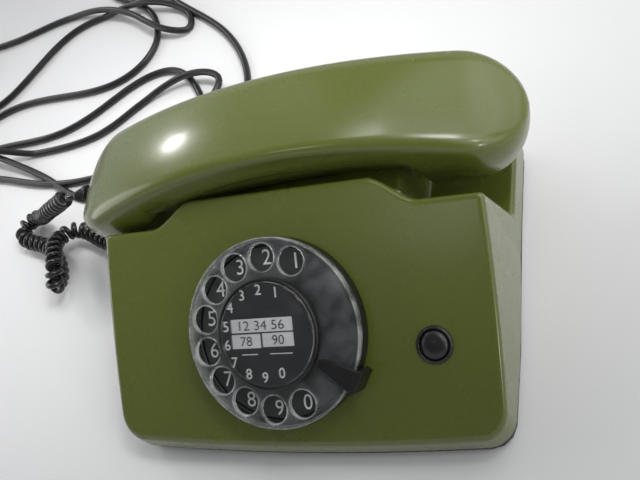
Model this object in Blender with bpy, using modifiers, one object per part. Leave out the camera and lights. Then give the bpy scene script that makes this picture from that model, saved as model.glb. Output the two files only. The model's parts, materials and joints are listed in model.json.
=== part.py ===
import math

import bmesh
import bpy
import numpy as np
from mathutils import Matrix, Vector

# Desk telephone with a rotary dial. Sizes are in millimetres, and MM takes them to Blender's metres.
MM = 0.001
GAP = 0.3

# Housing
HALF_WIDTH = 98.3
SIDE_BOW = 1.2
FRONT_BOW = 3.3
CORNER_RADIUS = 11.0
FRONT_Y = -78.7
ORIGIN_X = 6.35
ORIGIN_Y = -2.1
REAR_Y = 79.3
SLOPE = 30.0
FRONT_HEIGHT = 19.0
RIM_HEIGHT = 7.5
PANEL_SIDE = 103.0
PANEL_MIDDLE = 115.0
HUMP_FLAT = 47.0
HUMP_FOOT = 66.0
BACK_LEAN = 18.0
DECK_HEIGHT = 22.0
BLOCK_HALF_WIDTH = 56.0
WALL = 2.5

# Base plate and feet
BASE_THICKNESS = 2.5
BASE_INSET = 1.2
BASE_BOTTOM = 1.5
PLATE_RISE = 1.8
FOOT_RADIUS = 7.0
FOOT_INSET = 18.3
FOOT_X = HALF_WIDTH - FOOT_INSET
FOOT_Y = 60.0
SCREW_X = 64.0
SCREW_Y = 62.0
SCREW_RADIUS = 1.5
SCREW_HEAD_RADIUS = 3.4
BOSS_RADIUS = 4.5

# Dial, in its own frame: x to the right, y up the panel, z out of the panel
DIAL_U = -2.0
DIAL_V = 49.7
WHEEL_DIAMETER = 87.0
WHEEL_TOP = 11.5
WHEEL_THICKNESS = 2.6
WHEEL_SKIRT = 1.3
HOLE_INSET = 9.0
HOLE_CIRCLE_RADIUS = WHEEL_DIAMETER / 2 - HOLE_INSET
HOLE_DIAMETER = 12.6
HOLE_COUNT = 10
HOLE_STEP = 25.0
FIRST_HOLE = 66.7
BASE_RING_INSET = 2.0
BASE_RING_RADIUS = WHEEL_DIAMETER / 2 - BASE_RING_INSET
BASE_RING_HEIGHT = 6.8
DIAL_BODY_RADIUS = 35.5
DIAL_BODY_DEPTH = 3.5
DIAL_FLOOR = 4.0
NUMBER_RING_THICKNESS = 1.3
NUMBER_RING_INNER = 22.0
HOLDER_INSET = 17.9
HOLDER_RADIUS = WHEEL_DIAMETER / 2 - HOLDER_INSET
HOLDER_HEIGHT = 3.6
CARD_INSET = 1.8
CARD_RADIUS = HOLDER_RADIUS - CARD_INSET
WINDOW_THICKNESS = 2.0
SHAFT_RADIUS = 3.0
STOP_ANGLE = -30.0
STOP_CLEARANCE = 1.6
STOP_TIP_RADIUS = HOLDER_RADIUS + STOP_CLEARANCE
STOP_TIP_WIDTH = 4.4
STOP_WIDTH = 11.2
STOP_THICKNESS = 1.5
MODULE = 1.0
MAIN_TEETH = 36
PINION_TEETH = 9
GOVERNOR_MODULE = 0.7
IDLER_TEETH = 21
GOVERNOR_TEETH = 7
GEAR_THICKNESS = 1.6
GEAR_LEVEL = -11.5
IDLER_LEVEL = -16.5
FRAME_LEVEL = -20.5
FRAME_THICKNESS = 1.5
FRAME_RADIUS = 29.0
POST_RADIUS = 2.5
POST_CIRCLE = 26.4
POST_ANGLES = (24.6, 155.4, 209.5, 330.5)

# Push-button
BUTTON_INSET = 27.3
BUTTON_U = HALF_WIDTH - BUTTON_INSET
BUTTON_V = 40.0
BUTTON_RADIUS = 6.5
BUTTON_HEIGHT = 3.2
BUTTON_TRAVEL = 2.5
BEZEL_RADIUS = 8.6
BEZEL_HEIGHT = 1.8
BEZEL_WALL = 0.8
BEZEL_DEPTH = 12.0

# Handset
HANDSET_LENGTH = 241.0
HANDSET_X = -6.5
HANDSET_Y = 50.2
HANDSET_TURN = 3.8
GRIP_HALF_WIDTH = 26.5
CAP_HALF_WIDTH = 30.0
HANDSET_TOP = 98.5
TOP_ARCH = 0.0020
SIDE_TAPER = 6.0
SEAM_RISE = 17.5
SEAM_ARCH = 0.0036
GRIP_HEIGHT = 64.0
SEAM_HEIGHT = GRIP_HEIGHT + SEAM_RISE
GRIP_ARCH = 0.00112
CAP_BOTTOM = 42.0
CAP_CLEARANCE = 10.0
CAP_DROP = 8.0
CAP_START = BLOCK_HALF_WIDTH + CAP_CLEARANCE
CAP_END = CAP_START + CAP_DROP
CAP_LENGTH = HANDSET_LENGTH / 2 - CAP_END
NOSE_START = HANDSET_LENGTH / 2 - 0.484 * CAP_LENGTH
NOSE_POWER = 1.9
NOSE_Z = 59.0
SHELL_WALL = 2.3
CAPSULE_X = CAP_END + 0.344 * CAP_LENGTH
CAPSULE_RADIUS = 0.29 * CAP_LENGTH
CAPSULE_HEIGHT = 11.0
HANDSET_SCREW_X = 40.0

# Electrical pieces on the base
BOARD_INSET = 7.3
BOARD_WIDTH = 47.0
BOARD_DEPTH = 72.0
BOARD_Y = -54.0
TRANSFORMER_INSET = 14.3
TRANSFORMER_WIDTH = 26.0
TRANSFORMER_DEPTH = 20.0
TRANSFORMER_HEIGHT = 20.0
TRANSFORMER_Y = 2.0
TERMINAL_INSET = 6.3
TERMINAL_WIDTH = 32.0
TERMINAL_Y = 45.0

# Hook switch
PLUNGER_X = 25.0
PLUNGER_Y = 50.0
PLUNGER_RADIUS = 3.0
BAR_HEIGHT = 5.0
BAR_TOP = 51.2
SPRING_FLOOR = 28.0
SPRING_RADIUS = 4.0
LEVER_REACH = 20.0
LEVER_TIP_X = 14.0
LEVER_Y = 58.5

# Ringer
GONG_X = 28.0
GONG_Y = 46.0
GONG_RADIUS = 18.0
GONG_TOP = 22.0
GONG_DEPTH = 9.0
GONG_WALL = 1.2
CLAPPER_ARM = 20.0
CLAPPER_RADIUS = 5.5
VOLUME_Y = 64.0
VOLUME_RADIUS = 8.0

# Cords
CURLY_RADIUS = 6.25
STRAND_RADIUS = 1.75
CURL_PITCH = 5.7
LINE_RADIUS = 2.25
LINE_LENGTH = 3000.0
BOOT_LENGTH = 10.0
GLAND_LENGTH = 14.0
LINE_GLAND_LENGTH = 24.0
LINE_GLAND_X = -60.0
CORD_GLAND_Y = 33.3
GLAND_HEIGHT = 14.0
BOOT_Y = 3.0
COIL_LAYERS = 4
COIL_TURNS = 6.25
COIL_STEP = 5.2
COIL_POINTS = 12
TIE_WIDTH = 5.0
TIE_THICKNESS = 1.0

for old in list(bpy.data.objects):
    bpy.data.objects.remove(old, do_unlink=True)
scene = bpy.context.scene
phone = bpy.data.collections.new("desk_telephone")
cutters = bpy.data.collections.new("cutters")
scene.collection.children.link(phone)
scene.collection.children.link(cutters)

origin = bpy.data.objects.new("telephone_origin", None)
origin.empty_display_size = 0.02
origin.location = (ORIGIN_X * MM, ORIGIN_Y * MM, 0)
phone.objects.link(origin)

slope = math.radians(SLOPE)
lean = math.tan(math.radians(BACK_LEAN))


def material(name, colour, roughness, metallic=0.0, alpha=1.0):
    made = bpy.data.materials.new(name)
    made.use_nodes = True
    shader = made.node_tree.nodes["Principled BSDF"]
    shader.inputs["Base Color"].default_value = (*colour, 1.0)
    shader.inputs["Roughness"].default_value = roughness
    shader.inputs["Metallic"].default_value = metallic
    shader.inputs["Alpha"].default_value = alpha
    return made


GREEN = material("olive_green_plastic", (0.105, 0.12, 0.018), 0.25)
BLACK = material("black_plastic", (0.012, 0.012, 0.013), 0.3)
DARK = material("dark_base_plastic", (0.02, 0.02, 0.02), 0.5)
CLEAR = material("clear_plastic", (0.75, 0.78, 0.78), 0.08, 0.0, 0.4)
GREY = material("grey_dial_plastic", (0.05, 0.055, 0.05), 0.35)
PAPER = material("card", (0.5, 0.5, 0.46), 0.8)
STEEL = material("steel", (0.55, 0.55, 0.56), 0.3, 1.0)
BRASS = material("brass", (0.7, 0.5, 0.22), 0.3, 1.0)
RUBBER = material("rubber", (0.02, 0.02, 0.02), 0.8)
BOARD = material("circuit_board", (0.35, 0.22, 0.08), 0.6)
COPPER = material("copper_winding", (0.5, 0.2, 0.09), 0.4, 1.0)
CREAM = material("cream_nylon", (0.7, 0.66, 0.55), 0.5)


def place(obj, group, mat, at=(0, 0, 0), turn=None, parent=None, lift=0.0):
    """Puts an object in its collection, under its parent, at a place in millimetres."""
    group.objects.link(obj)
    if mat is not None:
        obj.data.materials.append(mat)
    obj.parent = parent or origin
    move = Matrix.Translation(Vector(at) * MM)
    if turn is not None:
        move = move @ turn.to_4x4()
    obj.matrix_local = move @ Matrix.Translation((0, 0, lift * MM))
    return obj


def empty(name, at, turn=None, parent=None):
    made = bpy.data.objects.new(name, None)
    made.empty_display_size = 0.01
    return place(made, phone, None, at, turn, parent)


def hide(obj):
    """Turns an object into a cutter."""
    for group in list(obj.users_collection):
        group.objects.unlink(obj)
    cutters.objects.link(obj)
    obj.hide_render = True
    obj.display_type = "WIRE"
    return obj


def mesh_object(name, bm, mat, at=(0, 0, 0), turn=None, parent=None, smooth=True):
    bmesh.ops.recalc_face_normals(bm, faces=bm.faces)
    mesh = bpy.data.meshes.new(name)
    bm.to_mesh(mesh)
    bm.free()
    obj = bpy.data.objects.new(name, mesh)
    place(obj, phone, mat, at, turn, parent)
    if smooth:
        mesh.shade_smooth()
        mesh.set_sharp_from_angle(angle=math.radians(35))
    return obj


def box(name, low, high, mat, at=(0, 0, 0), turn=None, parent=None):
    """A box between two corners."""
    bm = bmesh.new()
    bmesh.ops.create_cube(bm, size=1.0)
    size = [(b - a) * MM for a, b in zip(low, high)]
    middle = [(a + b) / 2 * MM for a, b in zip(low, high)]
    bmesh.ops.scale(bm, vec=size, verts=bm.verts)
    bmesh.ops.translate(bm, vec=middle, verts=bm.verts)
    return mesh_object(name, bm, mat, at, turn, parent, smooth=False)


def rod(name, radius, low, high, mat, at=(0, 0, 0), turn=None, parent=None, sides=16):
    """A round bar along its own z axis from low to high."""
    bm = bmesh.new()
    bmesh.ops.create_cone(bm, cap_ends=True, segments=sides, radius1=radius * MM,
                          radius2=radius * MM, depth=(high - low) * MM)
    bmesh.ops.translate(bm, vec=(0, 0, (low + high) / 2 * MM), verts=bm.verts)
    return mesh_object(name, bm, mat, at, turn, parent)


def turned(name, profile, mat, at=(0, 0, 0), turn=None, parent=None, steps=32):
    """A turned piece. The profile is closed, either by itself or along the axis."""
    area = sum(a[0] * b[1] - b[0] * a[1] for a, b in zip(profile, profile[1:] + profile[:1]))
    if area > 0:
        profile = profile[::-1]
    on_axis = [abs(r) < 1e-6 for r, z in profile]
    if any(on_axis):
        first = next(i for i, on in enumerate(on_axis) if on and not on_axis[(i + 1) % len(profile)])
        profile = profile[first:] + profile[:first]
    mesh = bpy.data.meshes.new(name)
    edges = [(i, i + 1) for i in range(len(profile) - 1)]
    if not any(on_axis):
        edges.append((len(profile) - 1, 0))
    mesh.from_pydata([(r * MM, 0, z * MM) for r, z in profile], edges, [])
    obj = bpy.data.objects.new(name, mesh)
    place(obj, phone, mat, at, turn, parent)
    spin = obj.modifiers.new("spin", "SCREW")
    spin.steps = steps
    spin.render_steps = steps
    spin.use_merge_vertices = True
    spin.merge_threshold = 0.00001
    spin.use_smooth_shade = True
    return obj


def as_mesh(obj):
    """A curve made into a welded mesh, so that it can be cut or cut with."""
    bpy.context.view_layer.update()
    graph = bpy.context.evaluated_depsgraph_get()
    mesh = bpy.data.meshes.new_from_object(obj.evaluated_get(graph))
    bm = bmesh.new()
    bm.from_mesh(mesh)
    bmesh.ops.remove_doubles(bm, verts=bm.verts, dist=0.000002)
    bmesh.ops.recalc_face_normals(bm, faces=bm.faces)
    bm.to_mesh(mesh)
    bm.free()
    name, parent, world = obj.name, obj.parent, obj.matrix_world.copy()
    groups = list(obj.users_collection)
    bpy.data.objects.remove(obj, do_unlink=True)
    made = bpy.data.objects.new(name, mesh)
    for group in groups:
        group.objects.link(made)
    made.parent = parent
    made.matrix_world = world
    return made


def corners(outline):
    """The outline without points that lie on a straight line between their neighbours."""
    kept = []
    for i, (x, y) in enumerate(outline):
        (ax, ay), (bx, by) = outline[i - 1], outline[(i + 1) % len(outline)]
        if abs((x - ax) * (by - ay) - (y - ay) * (bx - ax)) > 0.0005:
            kept.append((x, y))
    return kept


def plate(name, outlines, low, high, mat, at=(0, 0, 0), turn=None, parent=None):
    """A flat piece from low to high, from outlines in its own xy plane; inner outlines are holes."""
    curve = bpy.data.curves.new(name, "CURVE")
    curve.dimensions = "2D"
    curve.fill_mode = "BOTH"
    curve.extrude = (high - low) / 2 * MM
    for outline in outlines:
        outline = corners(outline)
        line = curve.splines.new("POLY")
        line.points.add(len(outline) - 1)
        for point, (x, y) in zip(line.points, outline):
            point.co = (x * MM, y * MM, 0, 1)
        line.use_cyclic_u = True
    obj = bpy.data.objects.new(name, curve)
    place(obj, phone, mat, at, turn, parent, lift=(low + high) / 2)
    return as_mesh(obj)


def tube(name, points, radius, mat, resolution=1):
    """One round tube through points."""
    curve = bpy.data.curves.new(name, "CURVE")
    curve.dimensions = "3D"
    curve.bevel_depth = radius * MM
    curve.bevel_resolution = resolution
    curve.use_fill_caps = True
    line = curve.splines.new("POLY")
    line.points.add(len(points) - 1)
    for point, place_mm in zip(line.points, points):
        point.co = (*(c * MM for c in place_mm), 1)
    obj = bpy.data.objects.new(name, curve)
    return place(obj, phone, mat)


def boolean(obj, other, operation):
    step = obj.modifiers.new(operation.lower() + "_" + other.name, "BOOLEAN")
    step.operation = operation
    step.object = hide(other)
    step.solver = "EXACT"
    return obj


def cut(obj, *others):
    for other in others:
        boolean(obj, other, "DIFFERENCE")
    return obj


def join(obj, *others):
    for other in others:
        boolean(obj, other, "UNION")
    return obj


def circle(radius, sides, middle=(0.0, 0.0), start=0.0):
    return [(middle[0] + radius * math.cos(start + 2 * math.pi * i / sides),
             middle[1] + radius * math.sin(start + 2 * math.pi * i / sides)) for i in range(sides)]


def polar(radius, degrees):
    return (radius * math.cos(math.radians(degrees)), radius * math.sin(math.radians(degrees)))


def smoothstep(t):
    t = min(1.0, max(0.0, t))
    return t * t * (3 - 2 * t)


ALONG_X = Matrix.Rotation(math.radians(90), 3, "Y")
ALONG_Y = Matrix.Rotation(math.radians(-90), 3, "X")
ALONG_MINUS_X = Matrix.Rotation(math.radians(-90), 3, "Y")


# Housing cover
def side_half_width(y):
    t = (y - FRONT_Y) / (PANEL_SIDE * math.cos(slope))
    return HALF_WIDTH + (SIDE_BOW * 4 * t * (1 - t) if 0 < t < 1 else 0.0)


def plan(inset):
    """The housing's outline seen from above, drawn in by inset."""
    half = HALF_WIDTH - inset
    low, high = FRONT_Y + inset, REAR_Y - inset
    radius = max(2.0, CORNER_RADIUS - inset)
    points = []
    for i in range(8):
        points.append((-(half - radius) + 2 * (half - radius) * i / 7, low))
    for middle, start in (((half - radius, low + radius), -90), ((half - radius, high - radius), 0),
                          ((-(half - radius), high - radius), 90), ((-(half - radius), low + radius), 180)):
        for i in range(1 if start == -90 else 0, 4):
            x, y = polar(radius, start + 30 * i)
            points.append((middle[0] + x, middle[1] + y))
            if i == 3 and start in (-90, 90):
                side = 1 if start == -90 else -1
                for k in range(1, 4):
                    t = k / 4 if side > 0 else 1 - k / 4
                    points.append((side * half, low + radius + (high - low - 2 * radius) * t))
    if points[-1] == points[0] or math.dist(points[-1], points[0]) < 0.01:
        points.pop()
    bowed = []
    for x, y in points:
        front = 1 - smoothstep((y - low) / (2 * CORNER_RADIUS))
        new_x = x * (side_half_width(y) - inset) / half
        bowed.append((new_x, y - front * FRONT_BOW * (1 - (x / HALF_WIDTH) ** 2)))
    return bowed


def panel_top(x):
    """Length of the sloped panel at x, which is longer in its middle."""
    rise = 1 - smoothstep((abs(x) - HUMP_FLAT) / (HUMP_FOOT - HUMP_FLAT))
    return PANEL_SIDE + (PANEL_MIDDLE - PANEL_SIDE) * rise


def grip_underside(x):
    return GRIP_HEIGHT - GRIP_ARCH * x * x


SADDLE_HEIGHT = grip_underside(BLOCK_HALF_WIDTH - HANDSET_X) - GAP


def back_line(x, inset):
    """Where the wall behind the panel would meet z = 0, along y."""
    v = panel_top(x)
    return (FRONT_Y + v * math.cos(slope) + (FRONT_HEIGHT + v * math.sin(slope)) * lean
            - inset * math.sqrt(1 + lean * lean))


def behind(name, x0, x1, floor, ceiling, inset):
    """The room behind the sloped panel between x0 and x1, from floor up to ceiling."""
    count = max(4, int(abs(x1 - x0) / 5.5))
    line = [x0 + (x1 - x0) * i / count for i in range(count + 1)]
    outline = [(x, back_line(x, inset)) for x in line] + [(x1, 160.0), (x0, 160.0)]
    obj = plate(name, [outline], floor, ceiling, None)
    shear = Matrix.Identity(4)
    shear[1][2] = -lean
    obj.data.transform(obj.matrix_world)
    obj.matrix_world = Matrix.Identity(4)
    obj.data.transform(shear)
    return obj


def cover_solid(name, inset, bottom):
    """The housing as a full solid, drawn in by inset, from z = bottom up."""
    solid = plate(name, [plan(inset)], bottom, 100.0, GREEN)
    roof = box(name + "_roof", (-150, -60, 0), (150, 220, 150), None,
               at=(0, FRONT_Y + inset * math.sin(slope), FRONT_HEIGHT - inset * math.cos(slope)),
               turn=Matrix.Rotation(slope, 3, "X"))
    cut(solid, roof)
    cut(solid, behind(name + "_saddle", -130, 130, SADDLE_HEIGHT - inset, 130, inset))
    edge = BLOCK_HALF_WIDTH - inset
    for side in (-1, 1):
        cut(solid, behind(f"{name}_bay{side}", side * edge, side * 130, DECK_HEIGHT - inset,
                          SADDLE_HEIGHT + 8, inset))
    return solid


cover = cover_solid("housing_cover", 0.0, RIM_HEIGHT)
cut(cover, cover_solid("housing_inside", WALL, RIM_HEIGHT - 6))

tilt = Matrix.Rotation(slope, 3, "X")


def on_panel(u, v, n=0.0):
    return (u, FRONT_Y + v * math.cos(slope) - n * math.sin(slope),
            FRONT_HEIGHT + v * math.sin(slope) + n * math.cos(slope))


dial = empty("dial_axis", on_panel(DIAL_U, DIAL_V), tilt)
button_axis = empty("button_axis", on_panel(BUTTON_U, BUTTON_V), tilt)

cut(cover, rod("dial_opening", DIAL_BODY_RADIUS + 2 * GAP, -12, 8, None, parent=dial, sides=32))
bezel_bore = BUTTON_RADIUS + GAP
cut(cover, rod("button_opening", bezel_bore + BEZEL_WALL + GAP, -12, 8, None, parent=button_axis, sides=18))
for side in (-1, 1):
    cut(cover, rod(f"plunger_opening{side}", PLUNGER_RADIUS + 2 * GAP, SADDLE_HEIGHT - 8,
                   SADDLE_HEIGHT + 8, None, at=(side * PLUNGER_X, PLUNGER_Y, 0)))
    boss_top = DECK_HEIGHT - WALL / 2
    boss_bottom = RIM_HEIGHT + PLATE_RISE
    join(cover, rod(f"screw_boss{side}", BOSS_RADIUS, boss_bottom, boss_top, None,
                    at=(side * SCREW_X, SCREW_Y, 0)))
    cut(cover, rod(f"screw_bore{side}", SCREW_RADIUS + GAP, boss_bottom - 4, DECK_HEIGHT - WALL - 2,
                   None, at=(side * SCREW_X, SCREW_Y, 0), sides=12))
NECK_RADIUS = 3.6
cut(cover, rod("cord_gland_hole", NECK_RADIUS + GAP, -12, 12, None,
               at=(-HALF_WIDTH, CORD_GLAND_Y, GLAND_HEIGHT), turn=ALONG_X))
cut(cover, rod("line_gland_hole", NECK_RADIUS + GAP, -12, 12, None,
               at=(LINE_GLAND_X, REAR_Y, GLAND_HEIGHT), turn=ALONG_Y))

# Base plate: a shallow tray under the rim, with a raised plate that fits inside the walls
BASE_TOP = RIM_HEIGHT - GAP
PLATE_TOP = BASE_TOP + PLATE_RISE
base = plate("base_plate", [plan(BASE_INSET)], BASE_BOTTOM, BASE_TOP, DARK)
join(base, plate("base_rise", [plan(WALL + 2 * GAP)], BASE_TOP - 1, PLATE_TOP, None))
tray_ceiling = BASE_TOP - BASE_THICKNESS
cut(base, plate("base_hollow", [plan(BASE_INSET + BASE_THICKNESS)], BASE_BOTTOM - 2, tray_ceiling, None))
for name, x, y in (("front_left", -1, -1), ("front_right", 1, -1), ("rear_left", -1, 1), ("rear_right", 1, 1)):
    turned(f"foot_{name}", [(0, tray_ceiling - GAP), (FOOT_RADIUS, tray_ceiling - GAP), (FOOT_RADIUS, 0.8),
                            (FOOT_RADIUS - 0.8, 0), (0, 0)], RUBBER,
           at=(x * FOOT_X, y * FOOT_Y, 0), steps=16)
for name, side in (("left", -1), ("right", 1)):
    at = (side * SCREW_X, SCREW_Y, 0)
    cut(base, rod(f"base_screw_hole{side}", SCREW_RADIUS + GAP, 0, 14, None, at=at, sides=12))
    head = tray_ceiling - GAP
    turned(f"housing_screw_{name}",
           [(0, DECK_HEIGHT - WALL - 3), (SCREW_RADIUS, DECK_HEIGHT - WALL - 3), (SCREW_RADIUS, head),
            (SCREW_HEAD_RADIUS, head), (SCREW_HEAD_RADIUS, head - 1.6), (0, head - 1.6)],
           STEEL, at=at, steps=12)
BOARD_X = -HALF_WIDTH + BOARD_INSET
PEGS = [(x, y) for x in (BOARD_X + 5, BOARD_X + BOARD_WIDTH - 6) for y in (BOARD_Y + 6, BOARD_Y + BOARD_DEPTH - 6)]
PEG_TOP = PLATE_TOP + 3.5
for i, (x, y) in enumerate(PEGS):
    join(base, rod(f"board_peg{i}", 2.5, PLATE_TOP - 1, PEG_TOP, None, at=(x, y, 0), sides=10))
cut(base, rod("volume_hole", VOLUME_RADIUS + 2 * GAP, 0, 14, None, at=(0, VOLUME_Y, 0), sides=24))

# Dial
wheel_radius = WHEEL_DIAMETER / 2
ring_top = BASE_RING_HEIGHT
bore = SHAFT_RADIUS + GAP
turned("dial_base",
       [(BASE_RING_RADIUS, ring_top), (BASE_RING_RADIUS, GAP), (DIAL_BODY_RADIUS, GAP),
        (DIAL_BODY_RADIUS, -DIAL_BODY_DEPTH), (DIAL_BODY_RADIUS - 2.5, -DIAL_BODY_DEPTH),
        (DIAL_BODY_RADIUS - 2.5, DIAL_FLOOR - 2), (bore, DIAL_FLOOR - 2), (bore, DIAL_FLOOR),
        (BASE_RING_RADIUS - 1.7, DIAL_FLOOR), (BASE_RING_RADIUS - 1.7, ring_top)],
       BLACK, parent=dial, steps=28)
ring_outer = BASE_RING_RADIUS - 1.7 - GAP
ring_low = DIAL_FLOOR + GAP
turned("number_ring",
       [(ring_outer, ring_low + NUMBER_RING_THICKNESS), (ring_outer, ring_low),
        (NUMBER_RING_INNER, ring_low), (NUMBER_RING_INNER, ring_low + NUMBER_RING_THICKNESS)],
       GREY, parent=dial, steps=24)
under = WHEEL_TOP - WHEEL_THICKNESS
skirt_low = BASE_RING_HEIGHT + 2 * GAP
wheel = turned("finger_wheel",
               [(bore, WHEEL_TOP), (wheel_radius - 0.8, WHEEL_TOP), (wheel_radius, WHEEL_TOP - 0.8),
                (wheel_radius, skirt_low), (wheel_radius - WHEEL_SKIRT, skirt_low),
                (wheel_radius - WHEEL_SKIRT, under), (10, under), (10, ring_low + NUMBER_RING_THICKNESS),
                (bore, ring_low + NUMBER_RING_THICKNESS)], CLEAR, parent=dial, steps=30)
for i in range(HOLE_COUNT):
    x, y = polar(HOLE_CIRCLE_RADIUS, FIRST_HOLE + HOLE_STEP * i)
    cut(wheel, rod(f"finger_hole{i}", HOLE_DIAMETER / 2, under - 3, WHEEL_TOP + 3, None,
                   at=(x, y, 0), parent=dial, sides=10))
holder_low = WHEEL_TOP + GAP
recess = holder_low + 1.4
holder = turned("label_holder",
                [(0, recess), (CARD_RADIUS + 0.5, recess), (CARD_RADIUS + 0.5, holder_low + HOLDER_HEIGHT),
                 (HOLDER_RADIUS, holder_low + HOLDER_HEIGHT - 0.4), (HOLDER_RADIUS, holder_low),
                 (0, holder_low)], BLACK, parent=dial, steps=24)
for side in (-1, 1):
    join(holder, box(f"holder_lug{side}", (side * (HOLDER_RADIUS - 0.2) - 1.3, -1.8, holder_low),
                     (side * (HOLDER_RADIUS - 0.2) + 1.3, 1.8, holder_low + 1.8), None, parent=dial))
card_low = recess + GAP
turned("label_card", [(0, card_low + 0.4), (CARD_RADIUS, card_low + 0.4), (CARD_RADIUS, card_low), (0, card_low)],
       PAPER, parent=dial, steps=24)
window_low = card_low + 0.4 + GAP
turned("label_window",
       [(0, window_low + WINDOW_THICKNESS), (CARD_RADIUS - 1, window_low + WINDOW_THICKNESS - 0.2),
        (CARD_RADIUS, window_low + WINDOW_THICKNESS - 1), (CARD_RADIUS, window_low), (0, window_low)],
       CLEAR, parent=dial, steps=24)

stop_low = WHEEL_TOP + 2 * GAP
leg_inner = wheel_radius + 1.0
leg_outer = leg_inner + 3.0
blade = [(STOP_TIP_RADIUS, 0), (STOP_TIP_RADIUS + 0.7, -STOP_TIP_WIDTH / 2), (leg_outer - 0.5, -STOP_WIDTH / 2),
         (leg_outer, 0), (leg_outer - 0.5, STOP_WIDTH / 2), (STOP_TIP_RADIUS + 0.7, STOP_TIP_WIDTH / 2)]
stop_turn = Matrix.Rotation(math.radians(STOP_ANGLE), 3, "Z")
stop = plate("finger_stop", [blade], stop_low, stop_low + STOP_THICKNESS, BLACK, parent=dial, turn=stop_turn)
half_leg = STOP_WIDTH / 2 - 0.3
leg = [(leg_inner, -half_leg), (leg_outer - 0.8, -half_leg), (leg_outer - 0.3, 0), (leg_outer - 0.8, half_leg),
       (leg_inner, half_leg), (leg_inner - 0.2, 0)]
join(stop, plate("stop_leg", [leg], GAP, stop_low + 0.7, None, parent=dial, turn=stop_turn))


def gear_outline(teeth, module):
    points = []
    for i in range(teeth):
        for k, r in enumerate((0.65, 0.65, -1.1) if module == MODULE else (0.65, -1.1)):
            turn = 360 / teeth * (i + ((-0.06, 0.06, 0.5) if module == MODULE else (0, 0.5))[k])
            points.append(polar(teeth * module / 2 + r * module, turn))
    return points


main_radius = MAIN_TEETH * MODULE / 2
pinion_radius = PINION_TEETH * MODULE / 2
idler_y = main_radius + pinion_radius
gear_low = GEAR_LEVEL
gear_high = GEAR_LEVEL + GEAR_THICKNESS
turned("dial_shaft", [(0, WHEEL_TOP - GAP), (SHAFT_RADIUS, WHEEL_TOP - GAP), (SHAFT_RADIUS, gear_low - 4),
                      (0, gear_low - 4)], STEEL, parent=dial, steps=16)
plate("main_gear", [gear_outline(MAIN_TEETH, MODULE), circle(bore, 16)], gear_low, gear_high, BRASS, parent=dial)

spring_turns = 2
spiral = []
for k in range(spring_turns * 10 + 1):
    spiral.append((4.2 + 9.0 * k / (spring_turns * 10), 36.0 * k))
strip = [polar(r + 0.4, a) for r, a in spiral] + [polar(r - 0.4, a) for r, a in reversed(spiral)]
plate("dial_mainspring", [strip], -7.5, -2.5, STEEL, parent=dial)

idler = empty("idler_axis", (0, idler_y, 0), parent=dial)
# The pinion is turned by half a tooth, so that its teeth stand in the main gear's gaps
pinion = plate("idler_gear", [gear_outline(PINION_TEETH, MODULE)], gear_low, gear_high + 0.6, BRASS, parent=idler,
               turn=Matrix.Rotation(math.radians(-90 + 180 / PINION_TEETH), 3, "Z"))
join(pinion, rod("idler_staff", 1.2, FRAME_LEVEL + FRAME_THICKNESS + GAP, gear_high + 1, None, parent=idler, sides=10))
join(pinion, plate("idler_wheel", [gear_outline(IDLER_TEETH, GOVERNOR_MODULE)], IDLER_LEVEL, IDLER_LEVEL + 1.3,
                   None, parent=idler))
governor_x = -(IDLER_TEETH + GOVERNOR_TEETH) * GOVERNOR_MODULE / 2
governor = empty("governor_axis", (governor_x, idler_y, 0), parent=dial)
rotor = turned("governor_rotor", [(0, -3.2), (5.6, -3.2), (5.6, -6.4), (0, -6.4)], BRASS, parent=governor, steps=16)
join(rotor, rod("governor_staff", 1.0, FRAME_LEVEL + FRAME_THICKNESS + GAP, -4, None, parent=governor, sides=10))
join(rotor, plate("governor_pinion", [gear_outline(GOVERNOR_TEETH, GOVERNOR_MODULE)], IDLER_LEVEL - 0.3,
                  IDLER_LEVEL + 1.6, None, parent=governor))
cup = turned("governor_cup", [(7.2, -1.6), (7.2, -8.4), (1.8, -8.4), (1.8, -7.4), (6.2, -7.4), (6.2, -2.6),
                              (1.8, -2.6), (1.8, -1.6)], STEEL, parent=governor, steps=12)

frame = plate("dial_frame", [circle(FRAME_RADIUS, 20)], FRAME_LEVEL, FRAME_LEVEL + FRAME_THICKNESS, STEEL, parent=dial)
for i, angle in enumerate(POST_ANGLES):
    x, y = polar(POST_CIRCLE, angle)
    join(frame, rod(f"frame_post{i}", POST_RADIUS, FRAME_LEVEL + 0.5, DIAL_FLOOR - 2 - GAP, None,
                    at=(x, y, 0), parent=dial, sides=8))
for i, angle in enumerate(POST_ANGLES[2:]):
    x, y = polar(POST_CIRCLE, angle)
    cut(frame, rod(f"frame_screw_hole{i}", 1.2 + GAP, FRAME_LEVEL - 2, FRAME_LEVEL + 8, None,
                   at=(x, y, 0), parent=dial, sides=8))
    turned(f"dial_screw_{i + 1}", [(0, FRAME_LEVEL + 7), (1.2, FRAME_LEVEL + 7), (1.2, FRAME_LEVEL - GAP),
                                   (2.4, FRAME_LEVEL - GAP), (2.4, FRAME_LEVEL - 1.5), (0, FRAME_LEVEL - 1.5)],
           STEEL, at=(x, y, 0), parent=dial, steps=10)
contacts = box("impulse_contacts", (-6, -27, FRAME_LEVEL + FRAME_THICKNESS + GAP), (6, -22.5, -9), CREAM, parent=dial)
for i in range(2):
    join(contacts, box(f"impulse_blade{i}", (-12, -25.6 + 2.2 * i, -15), (2, -25.0 + 2.2 * i, -11), None, parent=dial))

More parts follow.
